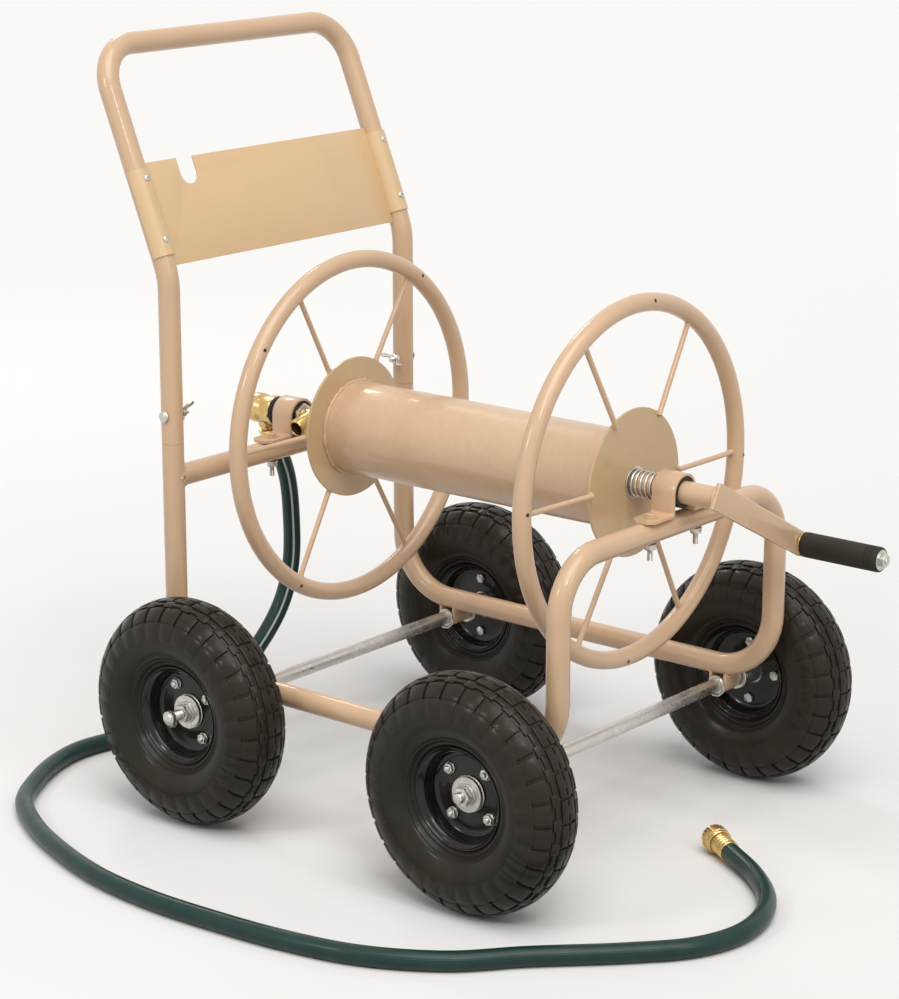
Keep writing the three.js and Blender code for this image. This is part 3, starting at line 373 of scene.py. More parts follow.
@shader_group("Edge Wear", {"Start": 0.53, "End": 0.62, "Scale": 90.0}, {"Mask": "Float"})
def edge_wear(tree, given):
    """Where a part's edges stand proud, broken up by a noise."""
    pointed = add(tree, "NewGeometry").outputs["Pointiness"]
    rim = ranged(tree, pointed, given["Start"], given["End"])
    broken = ranged(tree, noise(tree, object_coordinates(tree), given["Scale"], 3.0), 0.4, 0.6)
    return {"Mask": product(tree, rim, broken)}


@shader_group("Ground Dust", {"Height": 0.12, "Amount": 0.4}, {"Mask": "Float"})
def ground_dust(tree, given):
    """Dust that thins out with height above the ground."""
    place = object_coordinates(tree)
    low = ranged(tree, add(tree, "SeparateXYZ", {"Vector": place}).outputs["Z"], given["Height"], 0.0)
    speckled = ranged(tree, noise(tree, place, 30.0, 5.0, 0.65), 0.42, 0.68)
    return {"Mask": product(tree, product(tree, low, speckled), given["Amount"])}


# ---- Finishes --------------------------------------------------------------------------------------------


def new_finish(name, **values):
    """A material, its tree, and its Principled shader with the plain values set."""
    material = bpy.data.materials.new(name)
    material.use_nodes = True
    tree = material.node_tree
    shader = tree.nodes["Principled BSDF"]
    for label, value in values.items():
        shader.inputs[label.replace("_", " ").title().replace("Ior", "IOR")].default_value = value
    return material, tree, shader


def cloudy(tree, base, shade, scale, amount):
    """A colour that drifts towards a share of itself."""
    ends = {"colour": rgba(base), "shade": rgba(base, shade)}
    return effect(tree, "Cloudy Tone", **ends, scale=scale, amount=amount)


def surfaced(tree, shader, base, mask, smooth, rough):
    """Feeds the shader its base colour, and a roughness that runs between two values with a mask."""
    feed(tree, shader.inputs["Base Color"], base)
    feed(tree, shader.inputs["Roughness"], ranged(tree, mask, 0, 1, smooth, rough))


def bumped(tree, shader, height, depth, strength=1.0):
    """A bump whose depth is in millimetres."""
    bump = add(tree, "Bump", {"Height": height, "Distance": depth * MM, "Strength": strength})
    tree.links.new(bump.outputs["Normal"], shader.inputs["Normal"])


def grain(tree, scale, softness):
    return effect(tree, "Fine Grain", scale=scale, softness=softness)["Height"]


def powder_coat(name, base):
    """Glossy tan powder coat with a faint orange peel and slightly rubbed edges."""
    material, tree, shader = new_finish(name, coat_weight=0.45, coat_roughness=0.08, specular_ior_level=0.5)
    tone = cloudy(tree, base, 0.9, 7.0, 0.7)
    wear = effect(tree, "Edge Wear", start=0.56, end=0.70, scale=120.0)["Mask"]
    worn = mixed(tree, product(tree, wear, 0.35), tone["Colour"], (0.78, 0.60, 0.42))
    surfaced(tree, shader, worn, tone["Mask"], 0.30, 0.38)
    bumped(tree, shader, grain(tree, 520.0, 0.45), 0.06, 0.6)
    return material


def rim_paint():
    """Gloss black paint over pressed steel."""
    material, tree, shader = new_finish(
        "black_rim_paint", coat_weight=0.35, coat_roughness=0.05, specular_ior_level=0.2
    )
    dust = effect(tree, "Ground Dust", height=0.3, amount=0.04)["Mask"]
    tone = cloudy(tree, colours().rim_paint, 1.5, 20.0, 0.8)
    dusty = mixed(tree, dust, tone["Colour"], (0.10, 0.09, 0.075))
    surfaced(tree, shader, dusty, tone["Mask"], 0.16, 0.30)
    bumped(tree, shader, grain(tree, 350.0, 0.4), 0.08, 0.5)
    return material


def zinc_plate(name="zinc_plate", stretch=EVEN, dull=0.80):
    """Zinc-plated steel: mottled, with marks stretched along its length."""
    base = colours().zinc
    material, tree, shader = new_finish(name, metallic=0.9)
    spangle = effect(tree, "Zinc Spangle", scale=320.0, colour=rgba(base), dull=rgba(base, dull))
    surfaced(tree, shader, spangle["Colour"], spangle["Tone"], 0.42, 0.24)
    marks = effect(tree, "Turned Marks", stretch=stretch, scale=700.0)
    bumped(tree, shader, marks["Height"], 0.10, 0.6)
    return material


def machined_brass():
    """Brass with tooling marks and slightly browned hollows."""
    red, green, blue = colours().brass
    material, tree, shader = new_finish("machined_brass", metallic=1.0)
    browned = (red * 0.62, green * 0.5, blue * 0.5, 1)
    tone = effect(tree, "Cloudy Tone", colour=(red, green, blue, 1), shade=browned, scale=60.0, amount=0.45)
    marks = effect(tree, "Turned Marks", stretch=EVEN, scale=900.0)
    surfaced(tree, shader, tone["Colour"], marks["Mask"], 0.20, 0.34)
    bumped(tree, shader, marks["Height"], 0.03, 0.5)
    return material


def tyre_rubber():
    """Moulded tread rubber, greyed where it is rubbed and dusty near the ground."""
    material, tree, shader = new_finish(
        "tyre_rubber", specular_ior_level=0.13, coat_weight=0.17, coat_roughness=0.2
    )
    tone = cloudy(tree, colours().rubber, 1.3, 14.0, 0.8)
    wear = effect(tree, "Edge Wear", start=0.53, end=0.66, scale=60.0)["Mask"]
    rubbed = mixed(tree, product(tree, wear, 0.4), tone["Colour"], (0.075, 0.062, 0.046))
    dust = effect(tree, "Ground Dust", height=0.26, amount=0.10)["Mask"]
    dusty = mixed(tree, dust, rubbed, (0.10, 0.085, 0.062))
    surfaced(tree, shader, dusty, tone["Mask"], 0.32, 0.44)
    bumped(tree, shader, grain(tree, 900.0, 0.6), 0.10, 0.5)
    return material


def black_rubber(name, base, roughness, grain_scale, depth):
    """Plain black rubber or nylon with its own grain; also the dark brown of the painted shade in bores and
    holes.
    """
    material, tree, shader = new_finish(name, specular_ior_level=0.24)
    tone = cloudy(tree, base, 1.6, 40.0, 0.7)
    surfaced(tree, shader, tone["Colour"], tone["Mask"], roughness - 0.06, roughness + 0.06)
    bumped(tree, shader, grain(tree, grain_scale, 0.6), depth)
    return material


def hose_vinyl():
    """Dark green hose vinyl with one stripe. U runs along the hose in its UV map, and V round it."""
    material, tree, shader = new_finish(
        "hose_vinyl", coat_weight=0.2, coat_roughness=0.15, specular_ior_level=0.25
    )
    uv = add(tree, "UVMap", uv_map="UVMap").outputs["UV"]
    along = add(tree, "SeparateXYZ", {"Vector": uv}).outputs
    tone = cloudy(tree, colours().hose, 0.62, 30.0, 0.7)
    # The hose twists as it comes down, so its stripe rolls from the outside to underneath.
    roll = ranged(tree, along["X"], 0.20, 0.34, 0.55, 1.26)
    apart = math_node(tree, "SUBTRACT", along["Y"], roll)
    offset = math_node(tree, "SUBTRACT", apart, math_node(tree, "ROUND", apart))
    stripe = ranged(tree, math_node(tree, "ABSOLUTE", offset), 0.021, 0.017)
    painted = mixed(tree, product(tree, stripe, 0.85), tone["Colour"], colours().stripe)
    surfaced(tree, shader, painted, tone["Mask"], 0.34, 0.46)
    ribs = add(
        tree, "TexWave", {"Vector": uv, "Scale": 9.0, "Distortion": 0.0},
        wave_type="BANDS", bands_direction="Y", wave_profile="SIN",
    ).outputs["Fac"]
    pores = product(tree, grain(tree, 700.0, 0.5), 0.5)
    bumped(tree, shader, math_node(tree, "ADD", ribs, pores), 0.25, 0.5)
    return material


FINISH_MAKERS = {
    "powder_coat": lambda: powder_coat("tan_powder_coat", colours().powder_coat),
    "sheet_coat": lambda: powder_coat("tan_powder_coat_sheet", colours().sheet_coat),
    # The discs take the sheet coat darkened to 0.838 of it: painted shade on their upright faces.
    "disc_shaded_coat": lambda: powder_coat("tan_powder_coat_disc_shaded", rgba(colours().sheet_coat, 0.838)),
    "rim_paint": rim_paint,
    "zinc": zinc_plate,
    "zinc_drawn_x": lambda: zinc_plate("zinc_plate_drawn", (0.05, 1.0, 1.0), 0.90),
    "brass": machined_brass,
    "tyre": tyre_rubber,
    "seal_rubber": lambda: black_rubber("seal_rubber", (0.016, 0.015, 0.014), 0.55, 700.0, 0.05),
    "grip_rubber": lambda: black_rubber("grip_rubber", (0.0230, 0.0195, 0.0145), 0.66, 1100.0, 0.30),
    "bush_plastic": lambda: black_rubber("bush_nylon", (0.018, 0.017, 0.016), 0.42, 500.0, 0.03),
    # Painted shade: a dark brown put inside the outlet's bore and the rings' drain holes.
    "shadow": lambda: black_rubber("bore_painted_shade", (0.05, 0.025, 0.012), 0.6, 500.0, 0.03),
    "hose_vinyl": hose_vinyl,
}
made_finishes = {}


def finish_of(name):
    if name not in made_finishes:
        made_finishes[name] = FINISH_MAKERS[name]()
    return made_finishes[name]


# ---- Mesh helpers: they take millimetres and draw in metres ----------------------------------------------

BMVert, BMEdge, BMFace = bmesh.types.BMVert, bmesh.types.BMEdge, bmesh.types.BMFace
SAME_PLACE = 1e-4
MERGE_WITHIN = 0.004


def finished(name, bm, body, slot, node=None, sharp=35, finishes=()):
    """Turns a bmesh into a finished piece that rides on a body and stands for a node."""
    bmesh.ops.remove_doubles(bm, verts=bm.verts, dist=MERGE_WITHIN * MM)
    bmesh.ops.recalc_face_normals(bm, faces=bm.faces)
    mesh = bpy.data.meshes.new(name)
    bm.to_mesh(mesh)
    bm.free()
    mesh.polygons.foreach_set("use_smooth", [True] * len(mesh.polygons))
    mesh.set_sharp_from_angle(angle=math.radians(sharp))
    piece = bpy.data.objects.new(name, mesh)
    bpy.context.scene.collection.objects.link(piece)
    for finish in finishes or [slot]:
        mesh.materials.append(finish_of(finish))
    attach(piece, body)
    if node:
        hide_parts(node)
    return piece


def only(kind, items):
    return [item for item in items if isinstance(item, kind)]


def vert_at(bm, place):
    return bm.verts.new(place * MM)


def middle_of(face):
    return face.calc_center_median() / MM


def shifted(bm, geom, step):
    """Moves the vertices among some geometry by a step, and returns them."""
    verts = only(BMVert, geom)
    bmesh.ops.translate(bm, verts=verts, vec=step * MM)
    return verts


def edges_of(verts):
    """The edges at some vertices, each of them once and always in the same order."""
    return list(dict.fromkeys(edge for vert in verts for edge in vert.link_edges))


def verts_of(edges):
    return list(dict.fromkeys(vert for edge in edges for vert in edge.verts))


def spun(bm, geom, centre, axis, angle, steps, rise=Vector(), **settings):
    """Sweeps geometry round an axis, with a rise at each step, and returns its last copy."""
    return bmesh.ops.spin(
        bm, geom=geom, cent=centre * MM, axis=axis, angle=angle, steps=steps, dvec=rise * MM, **settings
    )["geom_last"]


def bevelled(bm, edges, offset, segments=2):
    bmesh.ops.bevel(
        bm, geom=edges, offset=offset * MM, segments=segments, profile=0.5, affect="EDGES", material=-1
    )


def bead(bm, place, radius):
    """A small ball of weld."""
    bmesh.ops.create_icosphere(bm, subdivisions=1, radius=radius * MM, matrix=Matrix.Translation(place * MM))


def second_finish(faces):
    for face in faces:
        face.material_index = 1


def across(direction):
    """A unit vector at right angles to a direction."""
    return direction.cross(Z if abs(direction.normalized().z) < 0.9 else X).normalized()


def round_points(centre_x, radius, count):
    """Points of a circle whose centre lies along the first axis."""
    angles = [FULL_TURN * k / count for k in range(count)]
    return [(centre_x + radius * math.cos(angle), radius * math.sin(angle)) for angle in angles]


def turned(bm, profile, origin, axis, segments=40):
    """A revolved shape from (radius, height) pairs about an axis through the origin."""
    axis = axis.normalized()
    side = across(axis)
    chain = [vert_at(bm, origin + side * radius + axis * height) for radius, height in profile]
    edges = [bm.edges.new(pair) for pair in zip(chain, chain[1:])]
    spun(bm, chain + edges, origin, axis, FULL_TURN, segments, use_merge=True)


def closed_turned(bm, profile, origin, axis, segments=40):
    """A revolved ring: its profile is closed on itself."""
    turned(bm, [*profile, profile[0]], origin, axis, segments)


def rounded_rod(radius, length, rounding, start=0.0):
    """The profile of a solid rod with rounded ends, from its axis to its axis."""
    inset = 0.3 * rounding
    end = start + length
    return [
        (0, start),
        (radius - rounding, start),
        (radius - inset, start + inset),
        (radius, start + rounding),
        (radius, end - rounding),
        (radius - inset, end - inset),
        (radius - rounding, end),
        (0, end),
    ]


def circle_at(bm, centre, direction, radius, sides, turn=0.0, filled=False):
    """The vertices of a circle square to a direction."""
    facing = Z.rotation_difference(direction).to_matrix().to_4x4() @ Matrix.Rotation(turn, 4, "Z")
    matrix = Matrix.Translation(centre * MM) @ facing
    return bmesh.ops.create_circle(
        bm, cap_ends=filled, radius=radius * MM, segments=sides, matrix=matrix
    )["verts"]


def pushed(bm, ring, step):
    """Extrudes a ring of edges along a straight step, and returns the new ring."""
    if step.length < SAME_PLACE:
        return ring
    made = bmesh.ops.extrude_edge_only(bm, edges=ring)["geom"]
    moved = shifted(bm, made, step)
    return [edge for edge in only(BMEdge, made) if all(vert in moved for vert in edge.verts)]


def capped(bm, ring):
    bmesh.ops.contextual_create(bm, geom=ring)


def capped_ring(bm, centre, direction, radius, sides):
    """The edges of a filled circle, ready to be swept."""
    ring = edges_of(circle_at(bm, centre, direction, radius, sides))
    capped(bm, ring)
    return ring


def rod(bm, start, end, radius, sides):
    ring = capped_ring(bm, start, (end - start).normalized(), radius, sides)
    capped(bm, pushed(bm, ring, end - start))


def bent_tube(bm, corners, bends, radius, sides, step_angle=7.5):
    """A round tube: straight runs between corners, each corner bent to its radius."""
    here = corners[0]
    ring = capped_ring(bm, here, (corners[1] - here).normalized(), radius, sides)
    for last, corner, following, bend in zip(corners, corners[1:], corners[2:], bends):
        before, after = (corner - last).normalized(), (following - corner).normalized()
        turn = before.angle(after)
        axis = before.cross(after).normalized()
        reach = bend * math.tan(turn / 2)
        start = corner - before * reach
        ring = pushed(bm, ring, start - here)
        steps = max(3, round(math.degrees(turn) / step_angle))
        made = spun(bm, ring + verts_of(ring), start + axis.cross(before) * bend, axis, turn, steps)
        ring = only(BMEdge, made)
        here = corner + after * reach
    capped(bm, pushed(bm, ring, corners[-1] - here))


class Pen:
    """Draws an outline with one vertex, extruded along straight runs and spun round arcs."""

    def __init__(self, bm, origin, x_axis, y_axis):
        self.bm, self.origin, self.x_axis, self.y_axis = bm, origin, x_axis, y_axis
        self.verts = []

    def place(self, x, y):
        return self.origin + self.x_axis * x + self.y_axis * y

    def move(self, x, y):
        self.verts = [vert_at(self.bm, self.place(x, y))]
        return self

    def line(self, *corners):
        for x, y in corners:
            made = bmesh.ops.extrude_vert_indiv(self.bm, verts=[self.verts[-1]])["verts"][0]
            made.co = self.place(x, y) * MM
            self.verts.append(made)
        return self

    def arc(self, x, y, degrees, steps):
        before = len(self.bm.verts)
        normal = self.x_axis.cross(self.y_axis)
        spun(self.bm, [self.verts[-1]], self.place(x, y), normal, math.radians(degrees), steps)
        self.bm.verts.ensure_lookup_table()
        self.verts += self.bm.verts[before:]
        return self

    def face(self):
        if (self.verts[0].co - self.verts[-1].co).length < SAME_PLACE * MM:
            bmesh.ops.weld_verts(self.bm, targetmap={self.verts.pop(): self.verts[0]})
        else:
            self.bm.edges.new((self.verts[-1], self.verts[0]))
        return self.bm.faces.new(self.verts)


def thickened(bm, face, step, rounding, segments=2):
    """Extrudes a flat face by a step and rounds the edges of both faces."""
    made = bmesh.ops.extrude_face_region(bm, geom=[face])["geom"]
    shifted(bm, made, step)
    if rounding:
        bevelled(bm, [*only(BMFace, made)[0].edges, *face.edges], rounding, segments)


def hexagon(bm, flats, origin, axis, height, rounding, turn=0.0):
    """A hexagonal nut or bolt head with rounded edges, turned on its axis by an angle in degrees."""
    verts = circle_at(bm, origin, axis, flats / math.sqrt(3), 6, math.radians(turn), True)
    made = bmesh.ops.extrude_face_region(bm, geom=[verts[0].link_faces[0]])["geom"]
    bevelled(bm, edges_of([*verts, *shifted(bm, made, axis * height)]), rounding)


def threaded(bm, radius, origin, axis, length, pitch=1.0, depth=0.35, segments=16):
    """A threaded rod drawn as fine rings, with a pointed end."""
    teeth = max(2, round(length / pitch))
    profile = [(0, 0), (radius - depth, 0)]
    for tooth in range(teeth):
        start = tooth * length / teeth
        profile += [(radius, start + 0.4 * pitch), (radius - depth, start + 0.9 * pitch)]
    profile += [(radius - 1.6 * depth, length), (0, length)]
    turned(bm, profile, origin, axis, segments)


def washer(bm, outer, inner, origin, axis, thickness, segments=36):
    rounding = min(0.3, thickness / 3)
    profile = [
        (inner, 0), (outer - rounding, 0), (outer, rounding), (outer, thickness - rounding),
        (outer - rounding, thickness), (inner, thickness),
    ]
    closed_turned(bm, profile, origin, axis, segments)


def weld_ring(bm, radius, origin, axis, size, ripples, seed, rough=0.12):
    """A weld bead round a joint: a small torus whose thickness ripples."""
    dice = random.Random(seed)
    side = across(axis)
    first = len(bm.verts)
    chain = [vert_at(bm, origin + side * r + axis * h) for r, h in round_points(radius, size, 8)]
    edges = [bm.edges.new(pair) for pair in zip(chain, [*chain[1:], chain[0]])]
    steps = 2 * ripples
    spun(bm, chain + edges, origin, axis, FULL_TURN, steps, use_merge=True)
    bm.verts.ensure_lookup_table()
    swell = [1 + 0.22 * (-1) ** k + dice.uniform(-rough, rough) for k in range(steps)]
    for vert in bm.verts[first:]:
        out = vert.co / MM - origin
        flat = out - axis * out.dot(axis)
        angle = math.atan2(flat.dot(axis.cross(side)), flat.dot(side)) % FULL_TURN
        heart = flat.normalized() * radius
        vert.co = (origin + heart + (out - heart) * swell[round(angle / FULL_TURN * steps) % steps]) * MM


def saddle_weld(bm, side, seed):
    """The bead where the rear cross bar meets a post, along the coped edge."""
    dice = random.Random(seed)
    count = 40
    for k in range(count):
        angle = FULL_TURN * k / count
        drop = TUBE_R * abs(math.sin(angle)) * 0.999
        x = SIDE_X - math.sqrt(TUBE_R**2 - drop**2) - 0.4
        y, z = POST_Y + TUBE_R * math.sin(angle), REAR_BAR_Z + TUBE_R * math.cos(angle)
        size = in_mm("weld_bead") * (1 + 0.25 * (-1) ** k + dice.uniform(-0.1, 0.1))
        bead(bm, Vector((side * x, y, z)), size * 0.8)


# ---- Leader hose -----------------------------------------------------------------------------------------

HOSE_POINTS_BAR = 279  # where the rear cross bar was when the hose's points were taken
HOSE_SHIFT = sum(corner.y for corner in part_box("rear_cross_bar")) / 2 / MM - HOSE_POINTS_BAR
HOSE_REST_Z = 10.6
HOSE_ON_GROUND = [
    (-156, 440), (-203, 446), (-252, 436), (-306, 410), (-361, 371), (-405, 305), (-437, 230), (-461, 145),
    (-470, 58), (-467, -28), (-457, -120), (-436, -203), (-391, -280), (-333, -333), (-262, -405),
    (-209, -449), (-158, -466), (-106, -461), (-57, -436),
]
HOSE_POINTS = [
    (17.58, 328, 373.70), (40, 328, 322), (47, 328, 268), (45, 328, 210), (29, 330, 162), (-3, 336, 118),
    (-36, 352, 78), (-74, 382, 41), (-113, 416, 19),
    *[(x, y, HOSE_REST_Z) for x, y in HOSE_ON_GROUND],
    (-15, -393, 11.4), (16, -341, 14.2),
]
HOSE_STEPS = 10  # between two points
FERRULE_LENGTH = 24
FERRULE_RINGS = 3
COUPLING_SIDES = 72


def hose_route():
    """A centripetal Catmull-Rom curve through the hose's points, in metres."""
    points = [Vector((x, y + HOSE_SHIFT, z)) * MM for x, y, z in HOSE_POINTS]
    points = [2 * points[0] - points[1], *points, 2 * points[-1] - points[-2]]
    route = []
    for p0, p1, p2, p3 in zip(points, points[1:], points[2:], points[3:]):
        d1, d2, d3 = (math.sqrt((b - a).length) for a, b in ((p0, p1), (p1, p2), (p2, p3)))
        t1 = (p1 - p0) / d1 - (p2 - p0) / (d1 + d2) + (p2 - p1) / d2
        t2 = (p2 - p1) / d2 - (p3 - p1) / (d2 + d3) + (p3 - p2) / d3
        m1, m2 = t1 * d2, t2 * d2
        for k in range(HOSE_STEPS):
            t = k / HOSE_STEPS
            a, b = 2 * t**3 - 3 * t**2 + 1, t**3 - 2 * t**2 + t
            route.append(p1 * a + m1 * b + p2 * (1 - a) + m2 * (t**3 - t**2))
    route.append(points[-2])
    return route


class REELCART_OT_leader_hose(bpy.types.Operator):
    """Lay the leader hose from the swivel down to the ground and round to the front"""

    bl_idname = "reelcart.leader_hose"
    bl_label = "Leader Hose"

    def execute(self, context):
        route = hose_route()
        curve = bpy.data.curves.new("leader_hose_tube", "CURVE")
        curve.dimensions = "3D"
        curve.bevel_depth = sizes().hose_diameter / 2
        curve.bevel_resolution = 8
        curve.use_fill_caps = True
        spline = curve.splines.new("POLY")
        spline.points.add(len(route) - 1)
        for point, place in zip(spline.points, route):
            point.co = (*place, 1)
        spline.use_smooth = True
        curve.materials.append(finish_of("hose_vinyl"))
        piece = bpy.data.objects.new("leader_hose_tube", curve)
        context.scene.collection.objects.link(piece)
        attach(piece, "frame")
        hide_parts("leader_hose")
        axis = (route[-1] - route[-2]).normalized()
        ferrule, nut = self.ferrule(route[-1] / MM, axis), self.coupling_nut(route[-1] / MM, axis)
        return {"FINISHED"}

    def ferrule(self, end, axis):
        """The crimped brass ferrule on the hose's free end."""
        bm = bmesh.new()
        profile = [(0, SEAT_GAP), (10.9, SEAT_GAP), (11.6, 0.9), (11.8, 2)]
        for h in [4 + 5 * ring for ring in range(FERRULE_RINGS)]:
            profile += [(11.8, h), (10.9, h + 1), (10.9, h + 2.2), (11.8, h + 3.2)]
        profile += [(11.8, 20), (12.2, 20.6), (12.2, 23.6), (11.6, FERRULE_LENGTH), (0, FERRULE_LENGTH)]
        turned(bm, profile, end, axis)
        return finished("coupling_ferrule", bm, "frame", "brass", "hose_ferrule", 32)

    def coupling_nut(self, end, axis):
        """The swivel nut: a knurled ring round a threaded mouth."""
        bm = bmesh.new()
        start = end + axis * (FERRULE_LENGTH + SEAT_GAP)
        profile = [
            (10.2, 4.8), (10.2, 0.6), (11, 0), (13.2, 0), (14.1, 0.8), (14.1, 3.4), (13.3, 4.2), (13.3, 5),
            (14.5, 5.8), (14.5, 17.4), (13.7, 18.4), (13.7, 19.4), (13.2, 20), (12.3, 20),
        ]
        for drop in [2.4 * tooth for tooth in range(5)]:
            profile += [(12.3, 18.8 - drop), (11.8, 18.0 - drop), (11.8, 17.4 - drop)]
        closed_turned(bm, [*profile, (11.8, 5), (0, 5), (0, 4.8)], start, axis, COUPLING_SIDES)
        side = across(axis)
        for face in bm.faces[:]:
            spot = middle_of(face) - start
            height = spot.dot(axis)
            if abs(height - 11.6) < 1 and (spot - axis * height).length > 14:
                angle = math.atan2(spot.dot(axis.cross(side)), spot.dot(side))
                if round(angle / FULL_TURN * COUPLING_SIDES - 0.5) % 3 == 0:
                    bmesh.ops.inset_individual(bm, faces=[face], thickness=0.1 * MM, depth=-0.7 * MM)
        return finished("coupling_swivel_nut", bm, "coupling", "brass", "hose_coupling_nut", 40)


# ---- Stage, in metres ------------------------------------------------------------------------------------

CAMERA_LENS = 102.87  # millimetres, on a 36 mm sensor
CAMERA_AZIMUTH = math.radians(-50.508)
CAMERA_ELEVATION = math.radians(15.171)
CAMERA_TARGET = Vector((-0.0199, 0.0460830, 0.355))
CAMERA_DISTANCE = 3.2056
FLOOR_HALF = 90
# The floor near the middle is darkened to a share of its colour, a painted shade round the cart, and
# lightens outwards over this span.
FLOOR_FADE = (0.8, 4.5)  # from the middle: where the floor starts to brighten, and where it is brightest
FLOOR_SHADE_SHARE = 0.86
FLOOR_BOUNCE_SHARE = 0.55
FLOOR_GLOW = 0.05
BACKDROP_SHARE = 0.97
FILL_STRENGTH = 0.40
SUN_STRENGTH = 1.82
SUN_SPREAD = math.radians(50)
SUN_FROM = Vector((-0.30, -0.38, 1.0))
LAMP_TARGET = Vector((0, 0, 0.4))
LAMPS = [  # the name, place, width, height, power and tint
    ("front_softbox", (-1.7, -1.8, 2.3), 0.4, 0.4, 7, (1.0, 0.99, 0.97)),
    ("front_strip", (-0.6, -3.0, 1.9), 0.3, 1.4, 7, (1.0, 0.99, 0.97)),
    ("side_strip", (-2.6, 0.6, 1.9), 0.5, 0.5, 11, (1.0, 1.0, 1.0)),
    ("back_strip", (1.2, 2.3, 2.4), 0.6, 0.6, 11, (1.0, 0.995, 0.98)),
]


def staged(name, data, direction, place=(0, 0, 0)):
    """A camera or a light that looks along a direction from its place."""
    holder = bpy.data.objects.new(name, data)
    holder.location = place
    holder.rotation_euler = direction.to_track_quat("-Z", "Y").to_euler()
    bpy.context.scene.collection.objects.link(holder)
    return holder


class REELCART_OT_stage(bpy.types.Operator):
    """Set the camera, the soft studio lights and the pale floor"""

    bl_idname = "reelcart.stage"
    bl_label = "Studio Stage"

    def execute(self, context):
        context.scene.view_settings.view_transform = "Standard"
        self.camera(context.scene)
        self.floor(context.scene)
        self.surroundings(context.scene)
        self.lights()
        return {"FINISHED"}

    def camera(self, scene):
        camera = bpy.data.cameras.new("camera")
        camera.lens = CAMERA_LENS
        camera.sensor_width = 36
        camera.clip_end = 400
        back = Vector((
            math.sin(CAMERA_AZIMUTH) * math.cos(CAMERA_ELEVATION),
            -math.cos(CAMERA_AZIMUTH) * math.cos(CAMERA_ELEVATION),
            math.sin(CAMERA_ELEVATION),
        ))
        scene.camera = staged("camera", camera, -back, CAMERA_TARGET + back * CAMERA_DISTANCE)

    def floor(self, scene):
        bm = bmesh.new()
        bmesh.ops.create_grid(bm, x_segments=1, y_segments=1, size=FLOOR_HALF)
        mesh = bpy.data.meshes.new("floor")
        bm.to_mesh(mesh)
        bm.free()
        plane = bpy.data.objects.new("floor", mesh)
        scene.collection.objects.link(plane)
        material, tree, shader = new_finish(
            "studio_floor", roughness=0.9, specular_ior_level=0.1, emission_color=(1.0, 0.99, 0.98, 1)
        )
        out = add(tree, "VectorMath", {0: object_coordinates(tree)}, operation="LENGTH").outputs["Value"]
        # Near the cart the floor is painted darker, a painted shade round it; further out it takes its full
        # colour and, for seen rays, glows a little so that it reads as the pale backdrop.
        far = ranged(tree, out, *FLOOR_FADE)
        pale = mixed(tree, far, rgba(colours().floor, FLOOR_SHADE_SHARE), colours().floor)
        seen = seen_ray(tree)
        shown = mixed(tree, seen, rgba(colours().floor, FLOOR_BOUNCE_SHARE), pale)
        feed(tree, shader.inputs["Base Color"], shown)
        feed(tree, shader.inputs["Emission Strength"], product(tree, product(tree, far, seen), FLOOR_GLOW))
        mesh.materials.append(material)

    def surroundings(self, scene):
        """A soft fill light, and the backdrop that shows in its place."""
        world = bpy.data.worlds.new("studio")
        scene.world = world
        world.use_nodes = True
        tree = world.node_tree
        fill = tree.nodes["Background"]
        fill.inputs["Color"].default_value = (1.0, 0.993, 0.985, 1)
        fill.inputs["Strength"].default_value = FILL_STRENGTH
        backdrop = add(tree, "Background", {"Color": rgba(colours().floor, BACKDROP_SHARE), "Strength": 1.0})
        shades = {0: seen_ray(tree), 1: fill.outputs[0], 2: backdrop.outputs[0]}
        shown = add(tree, "MixShader", shades)
        tree.links.new(shown.outputs[0], tree.nodes["World Output"].inputs["Surface"])

    def lights(self):
        sun = bpy.data.lights.new("overhead_bank", "SUN")
        sun.energy, sun.angle, sun.color = SUN_STRENGTH, SUN_SPREAD, (1.0, 0.99, 0.975)
        staged("overhead_bank", sun, -SUN_FROM)
        for name, place, wide, tall, power, tint in LAMPS:
            lamp = bpy.data.lights.new(name, "AREA")
            lamp.shape = "RECTANGLE"
            lamp.energy, lamp.size, lamp.size_y, lamp.color = power, wide, tall, tint
            staged(name, lamp, LAMP_TARGET - Vector(place), place)


# ---- Frame -----------------------------------------------------------------------------------------------


def down_left_up_right(places):
    """Corners of a bent tube: along the left side, then back along the right."""
    shift = X * SIDE_X
    return [place - shift for place in places] + [place + shift for place in reversed(places)]


